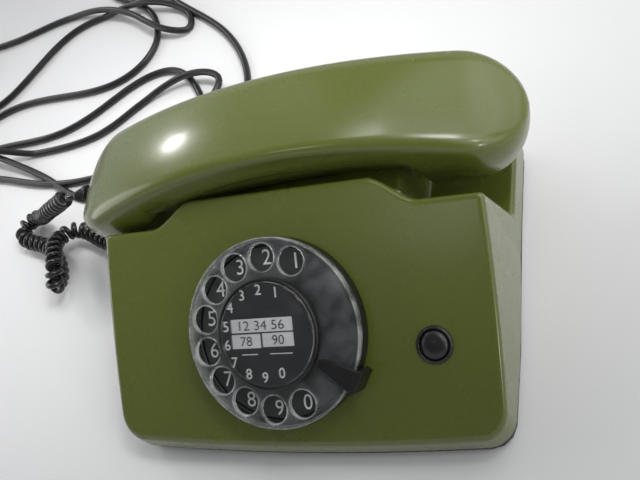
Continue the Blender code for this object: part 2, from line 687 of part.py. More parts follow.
# Push-button with its bezel and contact block
turned("button_bezel",
       [(bezel_bore, BEZEL_HEIGHT), (BEZEL_RADIUS - 0.6, BEZEL_HEIGHT), (BEZEL_RADIUS, GAP + 0.5),
        (BEZEL_RADIUS, GAP), (bezel_bore + BEZEL_WALL, GAP), (bezel_bore + BEZEL_WALL, -BEZEL_DEPTH),
        (bezel_bore, -BEZEL_DEPTH)], BLACK, parent=button_axis, steps=16)
turned("earth_button",
       [(0, BUTTON_HEIGHT - 0.9), (3.5, BUTTON_HEIGHT - 0.6), (BUTTON_RADIUS - 1.2, BUTTON_HEIGHT),
        (BUTTON_RADIUS - 0.4, BUTTON_HEIGHT - 0.1), (BUTTON_RADIUS, BUTTON_HEIGHT - 0.6), (BUTTON_RADIUS, -5),
        (2.2, -5), (2.2, -14), (0, -14)], BLACK, parent=button_axis, steps=16)
block_top = -14 - BUTTON_TRAVEL - 2 * GAP
block = box("button_contacts", (-6, -5, block_top - 6), (6, 5, block_top), CREAM, parent=button_axis)
for side in (-1, 1):
    join(block, box(f"contact_arm{side}", (side * 9.0 - 1, -3, block_top - 6), (side * 9.0 + 1, 3, -4), None,
                    parent=button_axis))
    join(block, box(f"contact_foot{side}", (side * 7 - 2.4, -3, block_top - 6), (side * 7 + 2.4, 3, block_top - 3),
                    None, parent=button_axis))


# Handset, built in its own frame and laid on the rest a little askew
handset_rest = empty("handset_rest", (HANDSET_X, HANDSET_Y, 0), turn=Matrix.Rotation(math.radians(HANDSET_TURN), 3, "Z"))


def on_handset(x, y, z):
    turn = math.radians(HANDSET_TURN)
    return (HANDSET_X + x * math.cos(turn) - y * math.sin(turn), HANDSET_Y + x * math.sin(turn) + y * math.cos(turn), z)


def handset_width(x):
    return GRIP_HALF_WIDTH + (CAP_HALF_WIDTH - GRIP_HALF_WIDTH) * min(1.0, abs(x) / NOSE_START) ** 2


def handset_section(x, wall):
    """Points of the handset's outline across x, drawn in by wall."""
    width = handset_width(x)
    top = HANDSET_TOP - TOP_ARCH * x * x
    drop = smoothstep((abs(x) - CAP_START - wall) / (CAP_END - CAP_START))
    low = grip_underside(x) * (1 - drop) + CAP_BOTTOM * drop
    half = HANDSET_LENGTH / 2 - wall
    front = -width + SIDE_TAPER
    shape = [(front, low + 3), (-width, (low + top) / 2), (-width, top - 2.0), (-width + 2.2, top - 0.9),
             (-0.1 * width, top), (width - 9, top - 2.0), (width - 3, top - 5), (width - 0.5, top - 10),
             (width - 2, low + 3), (width - 5, low), (front + 3, low)]
    middle, tall = (low + top) / 2, top - low
    nose = 1.0
    if abs(x) > NOSE_START:
        nose = max(0.0, 1 - ((abs(x) - NOSE_START) / (half - NOSE_START)) ** NOSE_POWER) ** (1 / NOSE_POWER)
    points = []
    for y, z in shape:
        y = y * (width - wall) / width
        z = middle + (z - middle) * (tall - 2 * wall) / tall
        points.append((x, y * nose, NOSE_Z + (z - NOSE_Z) * nose))
    return points


def handset_solid(name, wall, mat):
    half = HANDSET_LENGTH / 2 - wall
    start = CAP_START + wall
    middle = (CAP_START + CAP_END) / 2 + wall
    reach = half - NOSE_START
    stations = [0, 30, start, middle - 1, middle + 1, CAP_END + wall, NOSE_START, NOSE_START + reach * 0.5,
                NOSE_START + reach * 0.8, half - 1.4, half - 0.2]
    line = [-s for s in reversed(stations[1:])] + stations
    bm = bmesh.new()
    rings = []
    for x in line:
        rings.append([bm.verts.new([c * MM for c in point]) for point in handset_section(x, wall)])
    for one, two in zip(rings, rings[1:]):
        for i in range(len(one)):
            k = (i + 1) % len(one)
            bm.faces.new((one[i], one[k], two[k], two[i]))
    bm.faces.new(rings[0][::-1])
    bm.faces.new(rings[-1])
    return mesh_object(name, bm, mat, parent=handset_rest)


def below_seam(name, shift, floor=20.0):
    line = [(-126 + 252 * i / 16) for i in range(17)]
    outline = [(x, SEAM_HEIGHT - SEAM_ARCH * x * x + shift) for x in line] + [(126, floor), (-126, floor)]
    return plate(name, [outline], -60, 60, None, turn=Matrix.Rotation(math.radians(90), 3, "X"),
                 parent=handset_rest)


upper = handset_solid("handset_upper_shell", 0.0, GREEN)
cut(upper, below_seam("seam_upper", GAP / 2))
cut(upper, handset_solid("upper_inside", SHELL_WALL, None))
lower = handset_solid("handset_lower_shell", 0.0, GREEN)
boolean(lower, below_seam("seam_lower", -GAP / 2), "INTERSECT")
cut(lower, handset_solid("lower_inside", SHELL_WALL, None))

seam_at_screw = SEAM_HEIGHT - SEAM_ARCH * HANDSET_SCREW_X ** 2
grip_at_screw = grip_underside(HANDSET_SCREW_X)
top_at_screw = HANDSET_TOP - TOP_ARCH * HANDSET_SCREW_X ** 2
for i, side in enumerate((-1, 1)):
    at = (side * HANDSET_SCREW_X, 0, 0)
    join(lower, rod(f"lower_boss{side}", BOSS_RADIUS, grip_at_screw + 0.8, seam_at_screw - 0.6, None, at=at,
                    parent=handset_rest))
    join(upper, rod(f"upper_boss{side}", BOSS_RADIUS, seam_at_screw + 0.6, top_at_screw - SHELL_WALL / 2, None, at=at,
                    parent=handset_rest))
    cut(lower, rod(f"head_recess{side}", SCREW_HEAD_RADIUS - 0.4 + GAP, grip_at_screw - 6, grip_at_screw + 2.6,
                   None, at=at, parent=handset_rest))
    cut(lower, rod(f"lower_screw_hole{side}", SCREW_RADIUS + GAP, grip_at_screw - 6, seam_at_screw + 4, None,
                   at=at, sides=12, parent=handset_rest))
    cut(upper, rod(f"upper_screw_hole{side}", SCREW_RADIUS + GAP, seam_at_screw - 4, seam_at_screw + 10, None,
                   at=at, sides=12, parent=handset_rest))
    head_low = grip_at_screw + 0.5
    turned(f"handset_screw_{i + 1}",
           [(0, seam_at_screw + 9), (SCREW_RADIUS, seam_at_screw + 9), (SCREW_RADIUS, head_low + 1.8),
            (SCREW_HEAD_RADIUS - 0.4, head_low + 1.8), (SCREW_HEAD_RADIUS - 0.4, head_low), (0, head_low)],
           STEEL, at=at, steps=12, parent=handset_rest)
seal_low = CAP_BOTTOM + SHELL_WALL + 1.8
for name, side in (("microphone", -1), ("earpiece", 1)):
    at = (side * CAPSULE_X, 0, 0)
    turned(f"{name}_seal", [(CAPSULE_RADIUS, seal_low + 1.4), (CAPSULE_RADIUS, seal_low),
                            (CAPSULE_RADIUS - 2.5, seal_low), (CAPSULE_RADIUS - 2.5, seal_low + 1.4)],
           RUBBER, at=at, steps=16, parent=handset_rest)
    low = seal_low + 1.4 + GAP
    turned(f"{name}_capsule", [(0, low + CAPSULE_HEIGHT), (CAPSULE_RADIUS - 4, low + CAPSULE_HEIGHT),
                               (CAPSULE_RADIUS - 4, low + 4), (CAPSULE_RADIUS, low + 4), (CAPSULE_RADIUS, low),
                               (0, low)], STEEL, at=at, steps=16, parent=handset_rest)
    for i, (x, y) in enumerate([(0.0, 0.0)] + circle(6.0, 3)):
        cut(lower, rod(f"{name}_grille{i}", 1.4, CAP_BOTTOM - 4, seal_low + 1, None,
                       at=(at[0] + x, y, 0), sides=6, parent=handset_rest))

half_length = HANDSET_LENGTH / 2
BOOT_HOLE = NECK_RADIUS + GAP
cut(upper, rod("boot_hole", BOOT_HOLE, -12, 12, None, at=(-half_length, BOOT_Y, NOSE_Z), turn=ALONG_X,
               parent=handset_rest))


def strain_relief(name, reach, inside, tip, at, turn, wall=WALL, parent=None):
    """A gland along its own z axis: a flange inside the wall, a neck through it and a tapered tail outside."""
    return turned(name, [(0, reach), (tip, reach), (tip + 0.9, reach * 0.5), (NECK_RADIUS + 1.6, GAP + 2.2),
                         (NECK_RADIUS + 1.6, GAP), (NECK_RADIUS, GAP), (NECK_RADIUS, -wall - GAP),
                         (NECK_RADIUS + 1.0, -wall - GAP), (NECK_RADIUS + 1.0, -wall - GAP - inside),
                         (0, -wall - GAP - inside)], BLACK, at=at, turn=turn, parent=parent, steps=12)


boot_x = -half_length
strain_relief("handset_cord_boot", BOOT_LENGTH, 1.5, STRAND_RADIUS + 0.6, (boot_x, BOOT_Y, NOSE_Z), ALONG_MINUS_X,
              wall=SHELL_WALL + 3, parent=handset_rest)
strain_relief("handset_cord_gland", GLAND_LENGTH, 1.5, STRAND_RADIUS + 0.6,
              (-HALF_WIDTH, CORD_GLAND_Y, GLAND_HEIGHT), ALONG_MINUS_X)
strain_relief("line_cord_gland", LINE_GLAND_LENGTH, 1.5, LINE_RADIUS + 0.5,
              (LINE_GLAND_X, REAR_Y, GLAND_HEIGHT), ALONG_Y)

# Hook switch
plunger_top = grip_underside(PLUNGER_X - HANDSET_X + PLUNGER_RADIUS) - GAP
bar_low = BAR_TOP - BAR_HEIGHT
plunger = box("hook_plunger", (-PLUNGER_X - 4, PLUNGER_Y - 3.5, bar_low), (PLUNGER_X + 4, PLUNGER_Y + 3.5, BAR_TOP), CREAM)
for side in (-1, 1):
    join(plunger, rod(f"plunger_post{side}", PLUNGER_RADIUS, BAR_TOP - 1, plunger_top, None,
                      at=(side * PLUNGER_X, PLUNGER_Y, 0)))
join(plunger, box("plunger_foot", (LEVER_TIP_X - 3, PLUNGER_Y + 2.5, bar_low), (LEVER_TIP_X + 3, LEVER_Y + 1.5, BAR_TOP - 1),
                  None))
turned("hook_spring", [(SPRING_RADIUS, bar_low - GAP), (SPRING_RADIUS, SPRING_FLOOR + GAP),
                       (SPRING_RADIUS - 1.0, SPRING_FLOOR + GAP), (SPRING_RADIUS - 1.0, bar_low - GAP)],
       STEEL, at=(0, PLUNGER_Y, 0), steps=16)
lever_top = bar_low - GAP
lever_z = lever_top - 1.6
pivot_x = LEVER_TIP_X + LEVER_REACH
pivot = empty("hook_lever_axis", (pivot_x, LEVER_Y, lever_z))
lever = box("hook_lever", (-LEVER_REACH - 1.5, -1.4, -1.6), (6, 1.4, 1.6), STEEL, parent=pivot)
cut(lever, rod("lever_bore", 1.2 + GAP, -6, 6, None, parent=pivot, turn=ALONG_Y, sides=12))
rod("hook_pin", 1.2, -3, 8, STEEL, at=(pivot_x, LEVER_Y, lever_z), turn=ALONG_Y, sides=12)
bracket = box("hook_bracket", (-12, PLUNGER_Y - 8, SPRING_FLOOR - 2), (40, 68.0, SPRING_FLOOR), STEEL)
join(bracket, box("bracket_leg", (-12, 73, PLATE_TOP + GAP), (12, 75, SPRING_FLOOR), None))
join(bracket, box("bracket_neck", (-12, 66, SPRING_FLOOR - 2), (12, 75, SPRING_FLOOR - 0.2), None))
join(bracket, box("bracket_cheek", (pivot_x - 5, LEVER_Y + 2.4, SPRING_FLOOR - 1), (pivot_x + 5, LEVER_Y + 4.4, lever_z + 4),
                  None))
cut(bracket, rod("cheek_bore", 1.2 + GAP, -6, 12, None, at=(pivot_x, LEVER_Y, lever_z), turn=ALONG_Y, sides=12))
hook_block = box("hook_contacts", (pivot_x - 3, PLUNGER_Y - 8, SPRING_FLOOR + GAP), (pivot_x + 6, LEVER_Y + 1.0, lever_z - 6),
                 CREAM)
for i in range(2):
    join(hook_block, box(f"hook_blade{i}", (pivot_x - 14, PLUNGER_Y - 6 + 5 * i, lever_z - 10), (pivot_x, PLUNGER_Y - 3 + 5 * i, lever_z - 9.4),
                         None))

# Ringer
yoke = box("ringer_bracket", (-GONG_X - 7, 4, PLATE_TOP + GAP), (GONG_X + 7, GONG_Y + 6, PLATE_TOP + GAP + 1.5), STEEL)
for name, side in (("left", -1), ("right", 1)):
    at = (side * GONG_X, GONG_Y, 0)
    join(yoke, rod(f"gong_shoulder{side}", 5, PLATE_TOP + 1, GONG_TOP - GONG_WALL - GAP, None, at=at, sides=14))
    join(yoke, rod(f"gong_post{side}", 2.5, PLATE_TOP + 1, GONG_TOP + 2, None, at=at, sides=12))
    turned(f"gong_{name}",
           [(2.5 + GAP, GONG_TOP), (GONG_RADIUS - 5, GONG_TOP), (GONG_RADIUS - 1.5, GONG_TOP - 3),
            (GONG_RADIUS, GONG_TOP - GONG_DEPTH), (GONG_RADIUS - GONG_WALL, GONG_TOP - GONG_DEPTH),
            (GONG_RADIUS - 1.5 - GONG_WALL, GONG_TOP - 3.6), (GONG_RADIUS - 5.6, GONG_TOP - GONG_WALL),
            (2.5 + GAP, GONG_TOP - GONG_WALL)], BRASS, at=at, steps=16)
clapper_y = GONG_Y - CLAPPER_ARM
join(yoke, rod("clapper_pin", 1.2, PLATE_TOP + 1, 20, None, at=(0, clapper_y, 0), sides=10))
clapper_axis = empty("clapper_axis", (0, clapper_y, 0))
clapper = rod("clapper", 3.2, 13.5, 17.5, STEEL, parent=clapper_axis, sides=14)
join(clapper, box("clapper_arm", (-1.2, 1, 14.4), (1.2, CLAPPER_ARM, 16.4), None, parent=clapper_axis))
join(clapper, rod("clapper_ball", CLAPPER_RADIUS, 13.4, 17.4, None, at=(0, CLAPPER_ARM, 0), parent=clapper_axis, sides=16))
cut(clapper, rod("clapper_bore", 1.2 + GAP, 10, 22, None, parent=clapper_axis, sides=12))
coil_z = PLATE_TOP + 2 * GAP + 1.5 + 7.5
turned("ringer_coil", [(2.0, 9), (7.5, 9), (7.5, 7.8), (6.4, 7.8), (6.4, -7.8), (7.5, -7.8), (7.5, -9), (2.0, -9)],
       COPPER, at=(0, 13, coil_z), turn=ALONG_X, steps=12)
turned("volume_wheel", [(0, PLATE_TOP - 0.3), (VOLUME_RADIUS, PLATE_TOP - 0.3), (VOLUME_RADIUS, BASE_BOTTOM + 1.2),
                        (VOLUME_RADIUS - 0.8, BASE_BOTTOM + 0.6), (0, BASE_BOTTOM + 0.6)], BLACK,
       at=(0, VOLUME_Y, 0), steps=20)

# Electrical pieces
board_low = PEG_TOP + GAP
box("circuit_board", (BOARD_X, BOARD_Y, board_low),
    (BOARD_X + BOARD_WIDTH, BOARD_Y + BOARD_DEPTH, board_low + 1.6), BOARD)
turned("capacitor", [(0, board_low + 1.6 + GAP + 15), (5.6, board_low + 1.6 + GAP + 15), (6, board_low + 1.6 + GAP + 14),
                     (6, board_low + 1.6 + GAP), (0, board_low + 1.6 + GAP)], BLACK, at=(BOARD_X + 31, BOARD_Y + 56, 0), steps=16)
stand = PLATE_TOP + GAP
core_x = HALF_WIDTH - TRANSFORMER_INSET
core_side = TRANSFORMER_DEPTH / 2
core = box("transformer", (core_x - TRANSFORMER_WIDTH, TRANSFORMER_Y - core_side, stand),
           (core_x, TRANSFORMER_Y + core_side, stand + TRANSFORMER_HEIGHT), STEEL)
join(core, box("transformer_coil", (core_x - TRANSFORMER_WIDTH + 5, TRANSFORMER_Y - core_side - 4, stand + 5),
               (core_x - 5, TRANSFORMER_Y + core_side + 4, stand + TRANSFORMER_HEIGHT - 5), None))
terminal_x = HALF_WIDTH - TERMINAL_INSET
terminals = box("terminal_block", (terminal_x - TERMINAL_WIDTH, TERMINAL_Y - 5, stand),
                (terminal_x, TERMINAL_Y + 5, stand + 7), CREAM)
for i in range(4):
    cut(terminals, rod(f"terminal_hole{i}", 1.8, PLATE_TOP + 3, PLATE_TOP + 12, None,
                       at=(terminal_x - TERMINAL_WIDTH + 4.5 + 7.6 * i, TERMINAL_Y, 0), sides=8))



# Cords: smooth curves through points chosen by hand
def spline(points, samples):
    """A natural cubic spline through the points, sampled evenly in its parameter."""
    p = np.array(points, float)
    n = len(p)
    t = np.concatenate([[0.0], np.cumsum(np.sqrt(np.linalg.norm(np.diff(p, axis=0), axis=1)))])
    h = np.diff(t)
    system = np.zeros((n, n))
    right = np.zeros((n, 3))
    system[0, 0] = system[-1, -1] = 1.0
    for i in range(1, n - 1):
        system[i, i - 1:i + 2] = (h[i - 1], 2 * (h[i - 1] + h[i]), h[i])
        right[i] = 6 * ((p[i + 1] - p[i]) / h[i] - (p[i] - p[i - 1]) / h[i - 1])
    bend = np.linalg.solve(system, right)
    where = np.linspace(0, t[-1], samples)
    k = np.clip(np.searchsorted(t, where, side="right") - 1, 0, n - 2)
    a = ((t[k + 1] - where) / h[k])[:, None]
    b = 1 - a
    span = (h[k] ** 2)[:, None]
    return a * p[k] + b * p[k + 1] + ((a ** 3 - a) * bend[k] + (b ** 3 - b) * bend[k + 1]) * span / 6


def lengths(points):
    return np.concatenate([[0.0], np.cumsum(np.linalg.norm(np.diff(points, axis=0), axis=1))])


def curvature(points, along):
    step = np.gradient(points, along, axis=0)
    return np.linalg.norm(np.gradient(step, along, axis=0), axis=1)


def least_gap(points, radius, apart):
    """The least space between two stretches of a tube that are more than apart points away from each other."""
    points = np.asarray(points)
    best = 1e9
    for i in range(len(points) - apart):
        best = min(best, float(np.linalg.norm(points[i + apart:] - points[i], axis=1).min()))
    return best - 2 * radius


# Points of the cords are x, y and z, with y counted from the panel's front edge
CURLY_ROUTE = [(-149.5, 125, 55.5), (-157.5, 127.5, 49.5), (-166.5, 130.5, 43), (-177, 134, 35.5), (-189, 138, 26.8),
               (-200.5, 142, 18), (-211, 145.5, 11), (-221, 146.5, 7.4), (-227, 140, 6.4), (-222, 132.5, 6.4),
               (-210, 128.5, 6.4), (-199, 123.5, 6.4), (-191.5, 116, 6.4), (-186.5, 108.5, 6.6), (-183, 101, 8.0),
               (-179.5, 93.6, 13.6), (-176.5, 99, 20.4), (-179, 108, 21), (-184, 118, 18.8), (-185.5, 126, 14.8),
               (-180.5, 132.5, 11), (-171, 132, 8.4), (-160, 126.5, 7), (-148, 121.5, 7.8), (-134, 116, 10.5),
               (-122, 112, 13.2), (-113.5, 112, 14)]
CURLY_START = [on_handset(-half_length - BOOT_LENGTH - GAP - reach, BOOT_Y, NOSE_Z) for reach in (0, 4.2)]


def curly(name, start, route, pitch):
    """A curly cord: one tube that winds round the route, its curls fanned out where the route bends."""
    line = spline(start + [(x, y + FRONT_Y, z) for x, y, z in route], 3000)
    along = lengths(line)
    total = along[-1]
    even = np.linspace(0, total, 3000)
    line = np.stack([np.interp(even, along, line[:, i]) for i in range(3)], 1)
    wind = CURLY_RADIUS - STRAND_RADIUS
    bend = np.minimum(curvature(line, even), 0.8 / wind)
    bend = np.convolve(np.pad(bend, 20, mode="edge"), np.ones(41) / 41, mode="valid")
    lead = 2 * STRAND_RADIUS + 0.4
    rate = (1 - wind * bend) / pitch
    rate[(even < lead) | (even > total - lead)] = 0.0
    turn = np.concatenate([[0.0], np.cumsum((rate[1:] + rate[:-1]) / 2 * np.diff(even))])
    curls = int(turn[-1])
    turn *= curls / turn[-1]
    swell = np.clip(np.minimum(even - lead, total - lead - even) / 7.0, 0, 1)
    swell = swell * swell * (3 - 2 * swell) * wind
    normal = np.array([0.0, 0.0, 1.0])
    marks = [0.0, lead * 0.5] + list(np.interp(np.arange(0, curls * 8 + 1) / 8.0, turn, even)) + [total - lead * 0.5, total]
    marks = sorted(set(round(m, 4) for m in marks))
    tangents = np.gradient(line, even, axis=0)
    frame_at = np.empty_like(line)
    for i, tangent in enumerate(tangents):
        tangent = tangent / np.linalg.norm(tangent)
        normal = normal - tangent * float(normal @ tangent)
        normal /= np.linalg.norm(normal)
        frame_at[i] = normal
        tangents[i] = tangent
    points = []
    for mark in marks:
        i = min(len(even) - 1, int(round(mark / total * (len(even) - 1))))
        angle = 2 * math.pi * np.interp(mark, even, turn)
        side = np.cross(tangents[i], frame_at[i])
        out = np.interp(mark, even, swell)
        points.append(line[i] + out * (math.cos(angle) * frame_at[i] + math.sin(angle) * side))
    points = np.array(points)
    points[:, 2] = np.maximum(points[:, 2], STRAND_RADIUS + 0.02)
    print(name, "curls", curls, "points", len(points), "centreline", round(total), "mm, wire",
          round(lengths(points)[-1]), "mm, least gap to itself", round(least_gap(points, STRAND_RADIUS, 6), 2), "mm")
    return tube(name, points, STRAND_RADIUS, BLACK, 1)


curly("handset_cord", CURLY_START, CURLY_ROUTE, CURL_PITCH)

LOW = LINE_RADIUS + 0.1
COIL_LOW = LOW + TIE_THICKNESS + GAP
OVER = 7.6
LINE_ROUTE = [(-60, 182.3, 14), (-60, 188, 13), (-65, 199, 5), (-85, 202, LOW), (-128, 189, LOW), (-190, 176, LOW),
              (-238, 180, LOW), (-271, 188, LOW), (-293, 193, LOW), (-300, 205, LOW), (-288, 214, LOW),
              (-237, 217, LOW), (-199, 231, LOW), (-168, 251, LOW), (-138, 254, LOW), (-115, 231, LOW),
              (-101, 213, LOW), (-83, 213, LOW), (-80, 236, LOW), (-107, 281, LOW), (-155, 320, LOW),
              (-197, 350, LOW), (-217, 344, LOW), (-200, 332, LOW), (-172, 311, LOW), (-163, 280, LOW),
              (-180, 258, LOW), (-215, 251, LOW), (-264, 252, LOW), (-299, 242, LOW), (-313, 226, LOW),
              (-298, 212.5, OVER), (-276, 204, OVER), (-224, 181, LOW), (-205, 169, LOW), (-168, 160, LOW),
              (-132, 183, OVER), (-106, 213, OVER), (-98, 235, OVER), (-122, 244, OVER), (-160, 232, LOW),
              (-190, 212, LOW), (-245, 205, LOW), (-275, 205, OVER + 5), (-300, 205, OVER), (-330, 222, LOW),
              (-322, 243, LOW), (-291, 260, LOW), (-252, 307, LOW), (-218, 321, LOW), (-178, 320, OVER),
              (-141, 305, LOW), (-137, 290, LOW), (-158, 292, OVER), (-185, 310, OVER), (-212, 322, OVER),
              (-251, 329, LOW), (-300, 319, LOW), (-340, 316, LOW)]
COIL_X, COIL_Y = -366.0, 281.5


def coil_path(turns, inner, step, layers, middle, start, points_a_turn):
    """A neat pile of loops: out and in at a steady rate, a layer higher at each half turn where it reverses."""
    per_layer = turns / layers
    total = int(round(turns * points_a_turn))
    made = []
    for i in range(total + 1):
        turn = i / points_a_turn
        layer = min(layers - 1, int(turn / per_layer))
        within = turn - layer * per_layer
        out = within if layer % 2 else per_layer - within
        height = layer
        for k in range(1, layers):
            off = turn - k * per_layer
            if abs(off) < 0.25:
                height = k - 0.5 + (smoothstep(off * 2 + 0.5) - 0.5)
        angle = start + 2 * math.pi * turn
        made.append((middle[0] + (inner + out * step) * math.cos(angle),
                     middle[1] + (inner + out * step) * math.sin(angle), COIL_LOW + height * step))
    return made


free = spline([(x, y + FRONT_Y, z) for x, y, z in LINE_ROUTE], 6000)
free[:, 2] = np.maximum(free[:, 2], LOW)
free_along = lengths(free)
coil_length = LINE_LENGTH - free_along[-1] - 60
coil_turns = COIL_TURNS
coil_mean = coil_length / (2 * math.pi * coil_turns)
coil_inner = coil_mean - coil_turns / COIL_LAYERS * COIL_STEP / 2
coil_outer = coil_inner + coil_turns / COIL_LAYERS * COIL_STEP
print("line cord: free", round(free_along[-1]), "mm, in the coil", round(coil_length), "mm in",
      round(coil_turns, 2), "turns, outer radius", round(coil_outer, 1), "mm")
weight = 1 + 26 * np.minimum(curvature(free, free_along), 0.14)
share = np.concatenate([[0.0], np.cumsum((weight[1:] + weight[:-1]) / 2 * np.diff(free_along))])
lead = 2 * LINE_RADIUS
marks = np.interp(np.linspace(0, share[-1], 58), share, free_along)
marks = sorted([lead, free_along[-1] - lead] + [m for m in marks if m == 0 or lead * 1.6 < m < free_along[-1] - lead * 1.6
                                                or m == free_along[-1]])
cord = [[np.interp(m, free_along, free[:, i]) for i in range(3)] for m in marks]
cord[1] = [cord[0][0], cord[0][1] + lead, cord[0][2]]
cord[-1] = [COIL_X + GAP, COIL_Y + coil_outer + FRONT_Y, COIL_LOW]
cord[-2] = [cord[-1][0] + lead, cord[-1][1], COIL_LOW]
print("line cord points", len(cord), "least gap to itself", round(least_gap(cord, LINE_RADIUS, 4), 2), "mm on points")
tube("line_cord", cord, LINE_RADIUS, BLACK, 2)

coil = coil_path(coil_turns, coil_inner, COIL_STEP, COIL_LAYERS, (COIL_X, COIL_Y + FRONT_Y), math.pi / 2, COIL_POINTS)
end = np.array(coil[-1])
back = np.array(coil[-1]) - np.array(coil[-2])
back[2] = 0
back /= np.linalg.norm(back)
PLUG_HALF_THICKNESS = 4.8
fall = end[2] - PLUG_HALF_THICKNESS - 0.1
tail_route = [end + back * reach + np.array([0, 0, -fall * share_down]) for reach, share_down in
              ((-3, 0), (7, 0.05), (19, 0.4), (31, 0.85), (42, 1.0), (47, 1.0))]
tail = spline(tail_route, 60)[6::6]
coil_points = [(COIL_X, coil[0][1], COIL_LOW), (COIL_X - lead, coil[0][1], COIL_LOW)]
coil_points += [tuple(p) for p in coil if p[0] < COIL_X - lead * 1.5 or p is not coil[0]][1:-1]
coil_points += [tuple(p) for p in tail]
last = np.array(coil_points[-1])
coil_points.append(tuple(last + back * lead))
print("coil points", len(coil_points), "least gap to itself", round(least_gap(coil_points, LINE_RADIUS, 6), 2),
      "mm, wire", round(lengths(np.array(coil_points))[-1]), "mm")
tube("line_cord_coil", coil_points, LINE_RADIUS, BLACK, 1)
room = LINE_RADIUS + GAP + 0.7
ends = []
for grow in (TIE_THICKNESS, 0.0):
    low, high = LOW - LINE_RADIUS + TIE_THICKNESS - grow, COIL_LOW + (COIL_LAYERS - 1) * COIL_STEP + LINE_RADIUS + GAP + grow
    near, far = coil_inner - room - grow, coil_outer + room + grow
    ends.append([(near + 1, low), (far - 1, low), (far, low + 1), (far, high - 1), (far - 1, high), (near + 1, high),
                 (near, high - 1), (near, low + 1)])
plate("line_cord_tie", ends, -TIE_WIDTH / 2, TIE_WIDTH / 2, BLACK, at=(COIL_X, COIL_Y + FRONT_Y, 0),
      turn=Matrix.Rotation(math.radians(90), 3, "X"))

plug_at = np.array(coil_points[-1]) + back * GAP
heading = math.atan2(back[1], back[0])
plug_turn = Matrix.Rotation(heading, 3, "Z") @ Matrix.Rotation(math.radians(90), 3, "Y")
plug = turned("line_plug", [(0, 0), (LINE_RADIUS + 0.8, 0), (LINE_RADIUS + 2.2, 12), (LINE_RADIUS + 2.2, 15), (0, 15)],
              BLACK, at=tuple(plug_at), turn=plug_turn, steps=14)
join(plug, box("plug_body", (-PLUG_HALF_THICKNESS, -11, 14), (PLUG_HALF_THICKNESS, 11, 40), None, at=tuple(plug_at), turn=plug_turn))
for side in (-1, 1):
    join(plug, box(f"plug_blade{side}", (-2.5, side * 6 - 0.7, 39), (2.5, side * 6 + 0.7, 52), None,
                   at=tuple(plug_at), turn=plug_turn))
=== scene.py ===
import json
import math

import bmesh
import bpy
import numpy as np
from mathutils import Matrix, Vector
from mathutils.bvhtree import BVHTree
from mathutils.interpolate import poly_3d_calc


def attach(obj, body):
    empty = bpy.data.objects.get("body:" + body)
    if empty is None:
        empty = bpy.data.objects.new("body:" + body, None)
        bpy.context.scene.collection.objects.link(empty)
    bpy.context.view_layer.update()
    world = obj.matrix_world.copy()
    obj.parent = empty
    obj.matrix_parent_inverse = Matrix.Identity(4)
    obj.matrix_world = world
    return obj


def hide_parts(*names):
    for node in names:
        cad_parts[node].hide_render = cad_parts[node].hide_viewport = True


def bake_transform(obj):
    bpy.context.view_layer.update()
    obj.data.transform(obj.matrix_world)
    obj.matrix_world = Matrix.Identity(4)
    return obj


# Desk telephone: the looks. Sizes in the code are in millimetres in the frame's own axes.
MM = 0.001
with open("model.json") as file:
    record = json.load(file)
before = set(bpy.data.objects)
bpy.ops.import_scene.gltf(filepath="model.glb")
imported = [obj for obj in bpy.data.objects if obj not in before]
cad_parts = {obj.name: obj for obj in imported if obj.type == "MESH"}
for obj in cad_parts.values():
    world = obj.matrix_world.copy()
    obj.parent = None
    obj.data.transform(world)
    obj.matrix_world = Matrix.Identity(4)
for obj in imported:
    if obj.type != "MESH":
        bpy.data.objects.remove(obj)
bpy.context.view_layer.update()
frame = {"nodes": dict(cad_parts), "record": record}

# Where the telephone's own origin lies in the frame, its front and rear edges, the slope of its panel and the lean
# of the wall behind the panel
ORIGIN_X, ORIGIN_Y = 6.35, -2.1
FRONT_Y, REAR_Y = -78.7, 79.3
SLOPE = math.radians(30)
LEAN = math.tan(math.radians(18))
HALF_WIDTH, SIDE_BOW, FRONT_BOW, CORNER = 98.3, 1.2, 3.3, 11.0
FRONT_HEIGHT, RIM, DECK, SADDLE, WALL = 19.0, 7.5, 22.0, 59.32, 2.5
PANEL_SIDE, PANEL_MIDDLE, HUMP_FLAT, HUMP_FOOT, BLOCK = 103.0, 115.0, 45.5, 70.0, 56.0
HANDSET_X, HANDSET_Y, HANDSET_TURN, HALF_LENGTH = -6.5, 50.2, math.radians(3.8), 120.5
DIAL_U, DIAL_V = -2.0, 49.7
BUTTON_U, BUTTON_V = 71.0, 40.0


def here(x, y, z):
    """A point of the telephone's own coordinates, in the frame."""
    return (x + ORIGIN_X, y + ORIGIN_Y, z)


def on_handset(x, y, z):
    c, s = math.cos(HANDSET_TURN), math.sin(HANDSET_TURN)
    return here(HANDSET_X + x * c - y * s, HANDSET_Y + x * s + y * c, z)


TILT = Matrix.Rotation(SLOPE, 3, "X")


def on_panel(u, v, n=0.0):
    c, s = math.cos(SLOPE), math.sin(SLOPE)
    return here(u, FRONT_Y + v * c - n * s, FRONT_HEIGHT + v * s + n * c)


HANDSET_AXES = (on_handset(0, 0, 0), Matrix.Rotation(HANDSET_TURN, 3, "Z"))
DIAL_AXES = (on_panel(DIAL_U, DIAL_V), TILT)
BUTTON_AXES = (on_panel(BUTTON_U, BUTTON_V), TILT)


def smooth(t):
    t = np.clip(t, 0, 1)
    return t * t * (3 - 2 * t)


# Materials
def tree_of(name):
    made = bpy.data.materials.new(name)
    made.use_nodes = True
    return made, made.node_tree, made.node_tree.nodes["Principled BSDF"]


